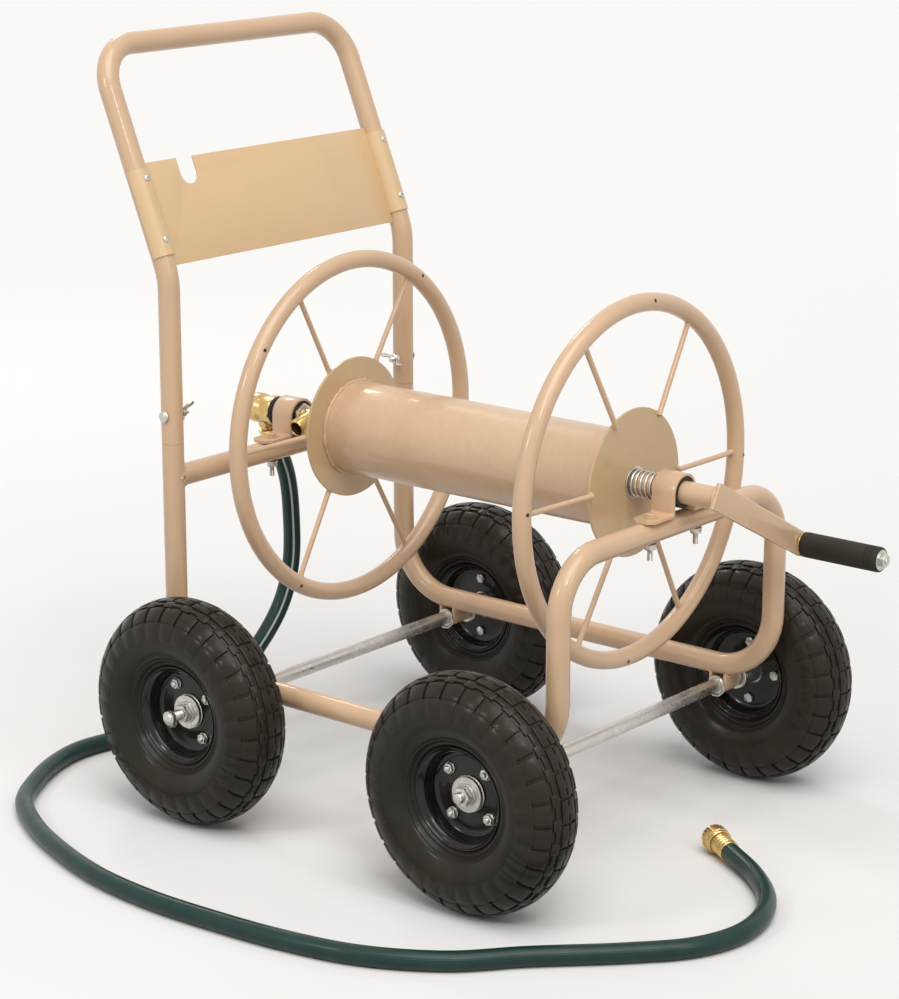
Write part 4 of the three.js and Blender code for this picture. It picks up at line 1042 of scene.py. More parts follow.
class REELCART_OT_frame(bpy.types.Operator):
    """Bend the chassis tube and weld the rear cross bar and the axle brackets to it"""

    bl_idname = "reelcart.frame"
    bl_label = "Frame"

    def execute(self, context):
        self.chassis()
        self.cross_bar()
        for wheel, (side, _) in WHEELS.items():
            self.bracket(wheel, side)
        return {"FINISHED"}

    def chassis(self):
        bm = bmesh.new()
        places = [(POST_Y, POST_TOP_Z), (POST_Y, RAIL_Z), (LEG_Y, RAIL_Z), (LEG_Y, FRONT_BAR_Z)]
        bends = [RAIL_BEND_R, RAIL_BEND_R, HOOP_BEND_R, HOOP_BEND_R, RAIL_BEND_R, RAIL_BEND_R]
        corners = down_left_up_right([Vector((0, y, z)) for y, z in places])
        bent_tube(bm, corners, bends, TUBE_R, sizes().sides)
        for side in SIDES.values():
            foot = Vector((side * SIDE_X, POST_Y, POST_TOP_Z - 1))
            turned(bm, rounded_rod(SPIGOT_R, SPIGOT_LENGTH, 1), foot, Z, 32)
        finished("chassis_bent_tube", bm, "frame", "powder_coat", "chassis_tube", 50)

    def cross_bar(self):
        bm = bmesh.new()
        end = Vector((SIDE_X - TUBE_R * 0.5, 0, 0))
        centre = Vector((0, POST_Y, REAR_BAR_Z))
        rod(bm, centre - end, centre + end, TUBE_R, sizes().sides)
        for side in SIDES.values():
            saddle_weld(bm, side, 11 + side)
        finished("rear_cross_bar_welded", bm, "frame", "powder_coat", "rear_cross_bar", 50)

    def bracket(self, wheel, side):
        bm = bmesh.new()
        hub = hub_of(wheel)
        inner, outer = BRACKET_INNER_R, BRACKET_OUTER_R
        top = RAIL_Z - TUBE_R - hub.z + BRACKET_WRAP
        pen = Pen(bm, Vector((side * (SIDE_X + BRACKET_OFFSET) - BRACKET_WIDTH / 2, hub.y, hub.z)), Y, Z)
        pen.move(-outer, top).line((-outer, 0)).arc(0, 0, 180, 18)
        pen.line((outer, top), (inner, top), (inner, 0)).arc(0, 0, -180, 18).line((-inner, top))
        thickened(bm, pen.face(), X * BRACKET_WIDTH, in_mm("bevel"))
        for end in (-1, 1):
            for along in (-1, 1):
                for k in range(9):
                    angle = math.radians(10 + 5 * k)
                    x = side * SIDE_X + along * TUBE_R * math.sin(angle)
                    z = RAIL_Z - TUBE_R * math.cos(angle) - 0.3
                    bead(bm, Vector((x, hub.y + end * 11.2, z)), 1.2 + 0.2 * (-1) ** k)
        finished(wheel + "_bracket_strap", bm, "frame", "powder_coat", wheel + "_axle_bracket", 40)


# ---- Axles and wheels ------------------------------------------------------------------------------------

TYRE_CENTRE_R = 91.0
SECTION_R = 39.0
LUG_ROOT = 0.4  # of a block, under the tread's floor
LUG_EDGE = 0.9
TREAD_ROWS = (  # the first and last angle on the section, the share of the pitch, the phase and the rise
    (88.7, 75.6, 0.88, 0.0, 0.0),
    (73.2, 59.4, 0.48, 0.5, 0.0),
    (69.2, 63.4, 0.58, 0.0, -0.12),
    (57.0, 30.5, 0.84, 0.0, 0.4),
    (31.0, -2.0, 0.80, 0.0, -0.25),
)
CENTRE_BRIDGE = (92.2, 87.8, 0.34, 0.0, -0.1)
RIM_BOLTS = 4
RIM_BOLT_CIRCLE_R = 34.5
RIM_BOLT_FLATS = 10.6
RIM_BOLT_HEAD = 3.6


def section_point(radius, degrees):
    """A point (radius, offset) on the tyre's round section, its angle counted from the sidewall up."""
    angle = math.radians(degrees)
    return TYRE_CENTRE_R + radius * math.sin(angle), radius * math.cos(angle)


def there_and_back(first, second):
    """One closed profile from a half, and from the other half drawn in the same direction."""
    return [*first, *reversed(second)]


class REELCART_OT_axles(bpy.types.Operator):
    """Turn the two axles with their clips, washers, nuts and threaded ends"""

    bl_idname = "reelcart.axles"
    bl_label = "Axles"

    def execute(self, context):
        for end in ("front", "rear"):
            self.axle(end)
        for wheel, (side, _) in WHEELS.items():
            self.nut(wheel, side)
        return {"FINISHED"}

    def axle(self, end):
        bm = bmesh.new()
        low, high = box(end + "_axle")
        hub = hub_of(end + "_right")
        centre = Vector((0, hub.y, hub.z))
        seat = hub.x + NUT_SEAT_X
        bracket = SIDE_X + BRACKET_OFFSET - BRACKET_WIDTH / 2 - SEAT_GAP
        turned(bm, rounded_rod(AXLE_R, 2 * seat, 0.5, -seat), centre, X)
        for side, tip in ((-1, -low.x), (1, high.x)):
            out = X * side
            threaded(bm, AXLE_THREAD_R, centre + out * (seat - 0.5), out, tip - seat + 0.5, 1.75, 0.5, 20)
            washer(bm, 10.8, AXLE_BORE_R, centre + out * (bracket - 2.4), out, 2.2)
            washer(bm, 14.4, AXLE_BORE_R, centre + out * (hub.x - 35.9), out, 1.9)
            self.clip_tail(bm, centre + out * (bracket - 1.3), side)
        finished(end + "_axle_turned", bm, "frame", "zinc", end + "_axle", 40, ["zinc_drawn_x"])

    def clip_tail(self, bm, centre, side):
        """The bent tail of the wire clip inside a bracket."""
        places = [(0, -9, 3), (side * -1, -11, -6), (side * -2, -5, -12), (side * -3, 3, -12.5)]
        bent_tube(bm, [centre + Vector(place) for place in places], [3, 3], 1.1, 8, 20)

    def nut(self, wheel, side):
        bm = bmesh.new()
        hub = hub_of(wheel)
        out = X * side
        seat = hub + out * (NUT_SEAT_X + SEAT_GAP)
        washer(bm, 19.2, 6.2, seat, out, 1.7, 48)
        washer(bm, 12.3, 6.2, seat + out * 1.7, out, 2, 32)
        hexagon(bm, 19, seat + out * 3.7, out, 7.2, 0.7, 8 if side < 0 else 21)
        if wheel == "rear_left":
            cap = Vector((box("rear_axle")[0].x + 1.5, hub.y, hub.z))
            turned(bm, rounded_rod(8.2, 6, 0.8), cap, X, 24)
        finished(wheel + "_nut_stack", bm, "frame", "zinc", wheel + "_axle_nut")


class REELCART_OT_wheels(bpy.types.Operator):
    """Make the tyres with their tread, the pressed rims and the hubs"""

    bl_idname = "reelcart.wheels"
    bl_label = "Wheels"

    def execute(self, context):
        for wheel, (side, bolt_turn) in WHEELS.items():
            centre = hub_of(wheel)
            self.tyre(wheel, centre, X * side)
            self.rim(wheel, centre, X * side)
            self.hub(wheel, centre, X * side)
            self.bolts(wheel, centre, X * side, bolt_turn)
        return {"FINISHED"}

    def tyre(self, wheel, centre, out):
        """A round-sectioned carcass with a ribbed bead, and rows of tread blocks standing on it."""
        bm = bmesh.new()
        base = SECTION_R - in_mm("lug_depth")
        half = [
            (51.2, 15.8), (55.9, 18.9), (57.4, 20.7), (58.8, 22.9), (60.0, 23.4), (61.0, 23.2), (62.0, 25.0),
            (64.0, 27.6), (65.2, 27.6), (66.2, 28.7), (67.2, 30.2),
        ]
        half += [section_point(SECTION_R - 0.8, angle) for angle in (-33, -25, -17, -9, -1, 7, 15, 23, 28.5)]
        half += [section_point(base, angle) for angle in (30, 38, 46, 54, 62, 70, 78, 86)]
        closed_turned(bm, there_and_back([(r, -x) for r, x in half], half), centre, out, 102)
        for row in TREAD_ROWS:
            for mirror in (-1, 1):
                self.lug_row(bm, centre, out * mirror, base - LUG_ROOT, mirror, *row)
        self.lug_row(bm, centre, out, base - LUG_ROOT, 1, *CENTRE_BRIDGE)
        finished(wheel + "_tread_tyre", bm, wheel + "_wheel", "tyre", wheel + "_tyre", 30)

    def lug_row(self, bm, centre, out, base, mirror, first, last, cover, phase, rise):
        """One ring of blocks: a wedge spun a short way, its upper edges bevelled, and copied all round."""
        count = sizes().lugs
        pitch = FULL_TURN / count
        side = Matrix.Rotation(pitch * (phase * mirror - cover / 2), 3, out) @ Z
        top = SECTION_R + rise
        crown = [section_point(top, first + (last - first) * k / 3) for k in range(4)]
        corners = [section_point(base, first), *crown, section_point(base, last)]
        old = len(bm.verts)
        face = bm.faces.new([vert_at(bm, centre + side * r + out * x) for r, x in corners])
        spun(bm, [face], centre, out, pitch * cover, 2)
        bm.verts.ensure_lookup_table()
        upper = []
        for vert in bm.verts[old:]:
            arm = vert.co / MM - centre
            x = arm.dot(out)
            if math.hypot((arm - out * x).length - TYRE_CENTRE_R, x) > top - 0.1:
                upper.append(vert)
        ridges = [e for e in edges_of(upper) if all(v in upper for v in e.verts) and len(e.link_faces) == 2]
        bevelled(bm, [e for e in ridges if e.calc_face_angle() > 0.6], LUG_EDGE)
        bm.verts.ensure_lookup_table()
        block = bm.verts[old:]
        faces = list(dict.fromkeys(f for v in block for f in v.link_faces))
        geom = faces + edges_of(block) + block
        spun(bm, geom, centre, out, pitch * (count - 1), count - 1, use_duplicate=True)

    def rim(self, wheel, centre, out):
        """A pressed rim: a rolled lip, a deep dish and a raised centre."""
        bm = bmesh.new()
        outside = [
            (16.5, 0.6), (27, 0.6), (29, 0.2), (41, 0.2), (43.5, 0.7), (45.6, 2.2), (46.6, 4.5), (47.4, 9),
            (48.1, 13.8), (49.4, 16.6), (51.8, 18.6), (53.4, 19.7), (54.3, 21.1), (55.4, 21.3), (56.0, 20.4),
            (55.7, 19.2), (54.4, 18.2), (52.0, 17.2), (50.6, 16.0), (50.2, 14.4),
        ]
        inside = [(r, -x if x > 2.3 else -x - 1.6) for r, x in outside]
        closed_turned(bm, there_and_back(outside, inside), centre, out, 80)
        finished(wheel + "_pressed_rim", bm, wheel + "_wheel", "rim_paint", wheel + "_rim", 30)

    def hub(self, wheel, centre, out):
        """A tube through the rim, with a flange against it."""
        bm = bmesh.new()
        tube = [(8.4, -33.4), (13.2, -33.4), (14.4, -32.4), (14.4, 2.8), (13.6, 3.7), (8.4, 3.7)]
        flange = [(14.3, 0.9), (19.5, 0.9), (20.2, 1.6), (19.5, 2.3), (14.3, 2.9)]
        for profile in (tube, flange):
            closed_turned(bm, profile, centre, out)
        finished(wheel + "_hub_tube", bm, wheel + "_wheel", "zinc", wheel + "_hub")

    def bolts(self, wheel, centre, out, bolt_turn):
        """The bolts that clamp the rim's halves, with washers and nuts."""
        bm = bmesh.new()
        for k in range(RIM_BOLTS):
            angle = math.radians(bolt_turn) + FULL_TURN * k / RIM_BOLTS
            spot = centre + Vector((0, math.cos(angle), math.sin(angle))) * RIM_BOLT_CIRCLE_R
            washer(bm, 6.6, 3.6, spot + out * 0.3, out, 0.9, 24)
            hexagon(bm, RIM_BOLT_FLATS, spot + out * 1.2, out, RIM_BOLT_HEAD, 0.45, 15 * k + 10 * out.x)
            threaded(bm, 3.1, spot + out * 4.6, out, 3.0)
            hexagon(bm, RIM_BOLT_FLATS, spot - out * 1.9, -out, RIM_BOLT_HEAD, 0.45, 11 * k)
        finished(wheel + "_rim_bolts", bm, wheel + "_wheel", "zinc")


# ---- Handle ----------------------------------------------------------------------------------------------


def on_plate(rise, side=0):
    """A place between the handle's tubes, or on one's axis, at a height above the plate's lower edge."""
    return KNEE + LEAN_UP * (PLATE_START + rise) + X * side * SIDE_X


class REELCART_OT_handle(bpy.types.Operator):
    """Bend the pull handle, curl its sheet plate round it and bolt it to the posts"""

    bl_idname = "reelcart.handle"
    bl_label = "Pull Handle"

    def execute(self, context):
        self.tube()
        self.plate()
        self.rivets()
        for name, side in SIDES.items():
            self.bolt(name, side)
            self.wing_nut(name, side)
        return {"FINISHED"}

    def tube(self):
        bm = bmesh.new()
        foot, top = Vector((0, POST_Y, HANDLE_FOOT_Z)), KNEE + LEAN_UP * HANDLE_REACH
        corners = down_left_up_right([foot, KNEE, top])
        bends = [KNEE_BEND_R, HANDLE_CORNER_R, HANDLE_CORNER_R, KNEE_BEND_R]
        bent_tube(bm, corners, bends, TUBE_R, sizes().sides)
        finished("handle_bent_tube", bm, "frame", "powder_coat", "handle_tube", 50)

    def plate(self):
        """A flat sheet with a hook notch, and its sides curled round the tubes."""
        bm = bmesh.new()
        half = SIDE_X - TUBE_R - SEAT_GAP
        reach, shoulder = NOTCH_R + NOTCH_CORNER, PLATE_HEIGHT - NOTCH_CORNER
        bottom = PLATE_HEIGHT - NOTCH_DEPTH + NOTCH_R
        pen = Pen(bm, on_plate(0) - LEAN_FRONT * SHEET / 2, X, LEAN_UP)
        pen.move(-half, 0).line((half, 0), (half, PLATE_HEIGHT), (NOTCH_X + reach, PLATE_HEIGHT))
        pen.arc(NOTCH_X + reach, shoulder, 90, 4).line((NOTCH_X + NOTCH_R, bottom))
        pen.arc(NOTCH_X, bottom, -180, 20).line((NOTCH_X - NOTCH_R, shoulder))
        pen.arc(NOTCH_X - reach, shoulder, 90, 4).line((-half, PLATE_HEIGHT))
        thickened(bm, pen.face(), LEAN_FRONT * SHEET, 0.3)
        for side in SIDES.values():
            self.curl(bm, side)
        finished("handle_sheet_plate", bm, "frame", "powder_coat", "handle_plate", finishes=["sheet_coat"])

    def curl(self, bm, side):
        """A flange curled round the front half of a tube: a strip of sheet spun about the tube."""
        heights = (CURL_SETBACK_LOW, PLATE_HEIGHT - CURL_SETBACK_HIGH)
        inner = TUBE_R + SEAT_GAP
        low, high = (on_plate(height, side) for height in heights)
        corners = [(low, inner), (low, inner + SHEET), (high, inner + SHEET), (high, inner)]
        face = bm.faces.new([vert_at(bm, spot - X * side * radius) for spot, radius in corners])
        spun(bm, [face], low, LEAN_UP * side, math.radians(178), 22)

    def rivets(self):
        bm = bmesh.new()
        head = [
            (0, 0), (3.9, 0), (3.9, 0.4), (3.5, 1.1), (2.6, 1.7), (1.6, 2), (1.3, 1.9), (1.2, 0.9), (0, 0.9)
        ]
        for side in SIDES.values():
            for rise in RIVET_HEIGHTS:
                seat = on_plate(rise, side) + LEAN_FRONT * (TUBE_R + SEAT_GAP + SHEET - 0.2)
                turned(bm, head, seat, LEAN_FRONT, 24)
        finished("handle_plate_rivets", bm, "frame", "zinc", sharp=40)

    def bolt(self, name, side):
        bm = bmesh.new()
        node = "handle_bolt_" + name
        low, high = box(node)
        seat = TUBE_R + SEAT_GAP
        place = Vector((side * (SIDE_X + seat), POST_Y, middle(node).z))
        head = [(0, -1), (3, -1), (3, 0), (7, 0), (7, 0.7), (6.2, 1.9), (4.6, 2.9), (2.4, 3.4), (0, 3.5)]
        turned(bm, head, place, X * side, 32)
        tip = -high.x if side < 0 else low.x
        threaded(bm, 3, place - X * side * 2 * seat, -X * side, SIDE_X - seat - tip)
        finished("handle_carriage_bolt_" + name, bm, "frame", "zinc", node)

    def wing_nut(self, name, side):
        bm = bmesh.new()
        inward = -X * side
        seat = Vector((side * (SIDE_X - TUBE_R - SEAT_GAP), POST_Y, middle("handle_bolt_" + name).z))
        hub = [(3.2, 0), (6, 0), (6, 0.6), (5.4, 5.4), (4.6, 6.4), (3.2, 6.4)]
        closed_turned(bm, hub, seat, inward, 28)
        turn = math.radians(-37 if side < 0 else 72)
        for way in (-1, 1):
            outward = Vector((0, math.sin(turn), math.cos(turn))) * way
            thin = outward.cross(inward)
            pen = Pen(bm, seat - thin * 1.1, outward, inward)
            pen.move(4.6, 0.4).line(
                (6, 0.4), (13.5, 3.6), (16.3, 7.6), (16.9, 10.2), (15.6, 13), (13.2, 14), (10.9, 13.2),
                (8.2, 9.4), (5.2, 6.0), (4.6, 6.0),
            )
            thickened(bm, pen.face(), thin * 2.2, 0.7, 3)
        finished("handle_wing_nut_" + name, bm, "frame", "zinc", "wing_nut_" + name, 50)


# ---- Bearings --------------------------------------------------------------------------------------------


class REELCART_OT_bearings(bpy.types.Operator):
    """Stand the omega straps on the cross bars with their bushes and bolts"""

    bl_idname = "reelcart.bearings"
    bl_label = "Bearing Straps"

    def execute(self, context):
        for end, y, bar_z, bolt_x, bore in (
            ("front", LEG_Y, FRONT_BAR_Z, 42, 12.85),
            ("rear", POST_Y, REAR_BAR_Z, 38, 10.35),
        ):
            self.strap(end, y, bar_z)
            self.bush(end, y, bore)
            for name, side in SIDES.items():
                self.bolt(f"{end}_strap_bolt_{name}", Vector((side * bolt_x, y, bar_z)))
        return {"FINISHED"}

    def strap(self, end, y, bar_z):
        bm = bmesh.new()
        node = end + "_bearing_strap"
        wide = depth_of(node)
        inner, outer = STRAP_INNER_R, STRAP_INNER_R + STRAP_WALL
        foot = bar_z + TUBE_R + SEAT_GAP - REEL_AXIS.z
        low_fold, high_fold = foot + STRAP_FOLD, foot + STRAP_WALL + STRAP_FOLD
        pen = Pen(bm, on_reel(y + wide / 2), X, Z)
        pen.move(-STRAP_HALF_SPAN, foot).line((-inner - STRAP_FOLD, foot))
        pen.arc(-inner - STRAP_FOLD, low_fold, 90, 5).line((-inner, 0)).arc(0, 0, -180, 28)
        pen.line((inner, low_fold)).arc(inner + STRAP_FOLD, low_fold, 90, 5)
        pen.line((STRAP_HALF_SPAN, foot), (STRAP_HALF_SPAN, foot + STRAP_WALL))
        pen.line((outer + STRAP_FOLD, foot + STRAP_WALL)).arc(outer + STRAP_FOLD, high_fold, -90, 5)
        pen.line((outer, 0)).arc(0, 0, 180, 28).line((-outer, high_fold))
        pen.arc(-outer - STRAP_FOLD, high_fold, -90, 5).line((-STRAP_HALF_SPAN, foot + STRAP_WALL))
        thickened(bm, pen.face(), -Y * wide, 0.35)
        for side in (-1, 1):
            for edge in (-1, 1):
                cut = Vector((side, edge, 0)).normalized()
                near = Vector((side * STRAP_HALF_SPAN, y + edge * wide / 2, 0)) - cut * STRAP_CLIP
                geom = bm.verts[:] + bm.edges[:] + bm.faces[:]
                bmesh.ops.bisect_plane(bm, geom=geom, plane_co=near * MM, plane_no=cut, clear_outer=True)
                bmesh.ops.holes_fill(bm, edges=[e for e in bm.edges if e.is_boundary], sides=0)
        finished(end + "_omega_strap", bm, "frame", "powder_coat", node, 30)

    def bush(self, end, y, bore):
        bm = bmesh.new()
        node = end + "_bush"
        half, outer = depth_of(node) / 2, STRAP_INNER_R - SEAT_GAP
        profile = [
            (bore, 1 - half), (bore + 1, -half), (outer, -half), (outer, half), (bore + 1, half),
            (bore, half - 1),
        ]
        closed_turned(bm, profile, on_reel(y), Y)
        finished(end + "_nylon_bush", bm, "frame", "bush_plastic", node)

    def bolt(self, node, centre):
        """A bolt and its nut, above and below the middle of a cross bar."""
        bm = bmesh.new()
        seat = centre + Z * (TUBE_R + SEAT_GAP + STRAP_WALL + 0.3)
        under = centre - Z * (TUBE_R + SEAT_GAP)
        turned(bm, [(0, 0), (7, 0), (7, 0.9), (6.4, 1.2), (0, 1.2)], seat, Z, 28)
        hexagon(bm, 10, seat + Z, Z, 3.4, 0.5, 12)
        washer(bm, 7, 3.2, under - Z * 1.4, Z, 1.4, 28)
        hexagon(bm, 11.6, under - Z * 6.4, Z, 5, 0.5, 20)
        threaded(bm, 3, under - Z * 5.5, -Z, 12.9)
        second_finish(face for face in bm.faces if middle_of(face).z < under.z)
        finished(node + "_fastener", bm, "frame", "zinc", node, finishes=["powder_coat", "zinc"])


# ---- Reel ------------------------------------------------------------------------------------------------

DRUM_WALL = 2
SPRING_STEPS = 36  # per turn
SPRING_OFF_WASHER = 0.2
SPRING_END = 16.3  # behind the middle of the front strap
SPRING_END_RUN = (0.08, 0.75)  # the share of the spring's length and the turns of each closer end
SPOKE_TURN = -1  # of the first spoke, in degrees
SPOKE_ROOT_R = 78
SPOKE_ROOT_OUT = 3.2  # outwards from the ring's plane
# The profile of a drain hole: a shallow dark disc of painted shade.
HOLE_RIM = [(0, 0.68), (1.5, 0.68), (1.9, 0.72), (2.2, 0.5)]


def out_from_axis(degrees):
    """A direction away from the reel's axis."""
    return Vector((math.cos(math.radians(degrees)), 0, math.sin(math.radians(degrees))))


def on_grip(y):
    """A place on the grip's axis."""
    return Vector((HINGES["grip_spin"].x, y, HINGES["grip_spin"].z))


class REELCART_OT_reel(bpy.types.Operator):
    """Weld up the reel: drum, discs, tube rings and wire spokes"""

    bl_idname = "reelcart.reel"
    bl_label = "Reel"

    def execute(self, context):
        self.drum()
        self.disc("reel_front_disc", FRONT_RING_Y, -1, 13.6)
        self.disc("reel_rear_disc", REAR_RING_Y, 1, 10.8)
        self.ring("reel_front_ring", FRONT_RING_Y, -1, (84, -2, 178, -95))
        self.ring("reel_rear_ring", REAR_RING_Y, 1, (55, 143.5, -122))
        return {"FINISHED"}

    def drum(self):
        bm = bmesh.new()
        low, high = box("reel_drum")
        length, bore = high.y - low.y, DRUM_R - DRUM_WALL
        closed_turned(bm, [(DRUM_R, 0), (DRUM_R, length), (bore, length), (bore, 0)], on_reel(low.y), Y, 96)
        for y, seed in ((low.y + 0.8, 3), (high.y - 0.8, 4)):
            weld_ring(bm, DRUM_R + 0.4, on_reel(y), Y, 2.3, 34, seed, 0.4)
        finished("reel_welded_drum", bm, "reel", "powder_coat", "reel_drum", 50)

    def disc(self, node, y, outer, shaft_weld_r):
        bm = bmesh.new()
        edge, inset = DISC_R - 0.4, DISC_HALF - 0.4
        profile = [
            (0, -DISC_HALF), (edge, -DISC_HALF), (DISC_R, -inset), (DISC_R, inset), (edge, DISC_HALF),
            (0, DISC_HALF),
        ]
        turned(bm, profile, on_reel(y), Y, 96)
        weld_ring(bm, shaft_weld_r, on_reel(y + outer * DISC_HALF), Y, 1.3, 24, 7)
        # The disc's coat is the sheet coat darkened as painted shade.
        finished(node + "_plate", bm, "reel", "powder_coat", node, finishes=["disc_shaded_coat"])

    def ring(self, node, y, outer, holes):
        """A tube hoop with drain holes, each a shallow dark disc of painted shade, and spokes welded from
        the disc's rim to the hoop.
        """
        bm = bmesh.new()
        centre = on_reel(y)
        closed_turned(bm, round_points(RING_R, RING_TUBE_R, 24), centre, Y, 144)
        for k in range(SPOKES):
            self.spoke(bm, centre, out_from_axis(SPOKE_TURN + 360 * k / SPOKES), outer, 20 + k)
        # Each drain hole is a shallow dark disc: painted shade.
        for degrees in holes:
            out = out_from_axis(degrees)
            facing = (out * 0.25 - Y).normalized()
            before = len(bm.faces)
            turned(bm, HOLE_RIM, centre + out * RING_R + facing * (RING_TUBE_R - 0.6), facing, 16)
            bm.faces.ensure_lookup_table()
            second_finish(bm.faces[before:])
        finished(node + "_hoop", bm, "reel", "powder_coat", node, 50, ["powder_coat", "shadow"])

    def spoke(self, bm, centre, out, outer, seed):
        """A wire spoke, a weld round its tip and a row of weld on both sides of its root."""
        root = centre + out * SPOKE_ROOT_R + Y * outer * SPOKE_ROOT_OUT
        tip = centre + out * (RING_R - RING_TUBE_R + 2)
        rod(bm, root, tip, SPOKE_R, 16)
        weld_ring(bm, SPOKE_R, centre + out * (RING_R - RING_TUBE_R + 0.4), out, 1.0, 7, seed)
        for step in range(6):
            spot = root + out * (0.4 + 0.9 * step) - Y * outer * 1.4
            for flank in (-1, 1):
                bead(bm, spot + out.cross(Y) * flank * 2.6, 1.1 + 0.2 * (-1) ** step)


class REELCART_OT_crank(bpy.types.Operator):
    """Fit the crank shaft, its spring, the arm and the turning grip"""

    bl_idname = "reelcart.crank"
    bl_label = "Crank"

    def execute(self, context):
        self.shaft()
        self.spring_washer()
        self.spring()
        self.arm()
        self.grip_bolt()
        self.grip_washer()
        self.grip()
        return {"FINISHED"}

    def shaft(self):
        bm = bmesh.new()
        length, bore = depth_of("crank_shaft"), SHAFT_R - 2
        profile = [
            (bore, 0.5), (bore + 0.5, 0), (SHAFT_R - 0.3, 0), (SHAFT_R, 0.3), (SHAFT_R, length),
            (bore, length),
        ]
        closed_turned(bm, profile, on_reel(box("crank_shaft")[0].y), Y, 48)
        finished("crank_shaft_tube", bm, "reel", "powder_coat", "crank_shaft")

    def spring_washer(self):
        bm = bmesh.new()
        seat = on_reel(box("spring_washer")[0].y)
        washer(bm, 18, 12.85, seat, Y, depth_of("spring_washer"), 48)
        finished("spring_seat_washer", bm, "reel", "zinc", "spring_washer")

    def spring(self):
        """A wire wound in three runs, so that its end coils lie closer than the rest."""
        bm = bmesh.new()
        back, front = box("spring_washer")[0].y - SPRING_OFF_WASHER, LEG_Y + SPRING_END
        wire = in_mm("spring_wire") / 2
        end_share, end_turns = SPRING_END_RUN
        middle_run = (1 - 2 * end_share, sizes().spring_turns - 2 * end_turns)
        start = on_reel(back - wire) + X * (SHAFT_R + 0.1 + wire)
        ring = capped_ring(bm, start, Z, wire, 14)
        for share, turns in (SPRING_END_RUN, middle_run, SPRING_END_RUN):
            steps = round(SPRING_STEPS * turns)
            rise = Y * (front - back + 2 * wire) * share / steps
            made = spun(bm, ring + verts_of(ring), REEL_AXIS, -Y, FULL_TURN * turns, steps, rise)
            ring = only(BMEdge, made)
        capped(bm, ring)
        finished("crank_spring_coil", bm, "reel", "zinc", "reel_spring", 50)

    def arm(self):
        bm = bmesh.new()
        low, high = box("crank_arm")
        reach = HINGES["grip_spin"] - REEL_AXIS
        out = Vector((reach.x, 0, reach.z)).normalized()
        half, throw = 14, reach.xz.length
        pen = Pen(bm, on_reel(high.y), out, out.cross(Y))
        pen.move(-SHAFT_R, -half).line((throw, -half)).arc(throw, 0, 180, 24).line((-SHAFT_R, half))
        thickened(bm, pen.face(), Y * (low.y - high.y), 0.6, 3)
        weld_ring(bm, SHAFT_R + 0.1, on_reel(high.y + 0.2), Y, 1.5, 20, 9)
        finished("crank_flat_arm", bm, "reel", "powder_coat", "crank_arm")

    def grip_bolt(self):
        bm = bmesh.new()
        seat = on_grip(box("crank_arm")[1].y + SEAT_GAP)
        tip = on_grip(box("grip_bolt")[0].y)
        head = tip + Y * 8
        hexagon(bm, 13, seat, Y, 4, 0.6, 10)
        shank = seat.y - head.y
        turned(bm, [(0, 0), (4, 0), (4, shank), (0, shank)], seat, -Y, 24)
        washer(bm, 11.5, 4.1, head, Y, 1.9)
        hexagon(bm, 13, head, -Y, 6, 0.6, 3)
        turned(bm, [(0, 0), (3.9, 0), (3.6, 1.6), (0, 2)], tip + Y * 2, -Y, 20)
        finished("grip_through_bolt", bm, "reel", "zinc", "grip_bolt")

    def grip_washer(self):
        bm = bmesh.new()
        washer(bm, 13.9, 4.3, on_grip(box("grip_washer")[0].y), Y, depth_of("grip_washer"))
        finished("grip_brass_washer", bm, "reel", "brass", "grip_washer")

    def grip(self):
        bm = bmesh.new()
        length = depth_of("crank_grip")
        profile = [(4.35, 0), (12.3, 0), (13.3, 0.5), (13.8, 1.6), (14, 3.2), (14, length - 16.5)]
        for at in [length - 16 + 3.6 * rib for rib in range(3)]:
            profile += [(14, at), (13.2, at + 0.7), (13.2, at + 1.6), (14, at + 2.3)]
        profile += [(14, length - 3), (13.6, length - 1.3), (12.6, length - 0.2), (11.8, length)]
        closed_turned(bm, [*profile, (4.35, length)], on_grip(box("crank_grip")[1].y), -Y, 48)
        finished("crank_hand_grip", bm, "grip", "grip_rubber", "crank_grip")


# ---- Water way -------------------------------------------------------------------------------------------

OUTLET_WAY = out_from_axis(180 + 16)
OUTLET_MOUTH = 30  # from the reel's axis
OUTLET_BEFORE_NUT = 2.25 + 0.65 + 11  # half the lock nut, a clearance and the branch's radius
ELBOW_LEG_WAY = out_from_axis(-90 + 25)
ELBOW_LEG = 26  # from the reel's axis
ELBOW_LEG_INSET = 17  # from the elbow's closed end


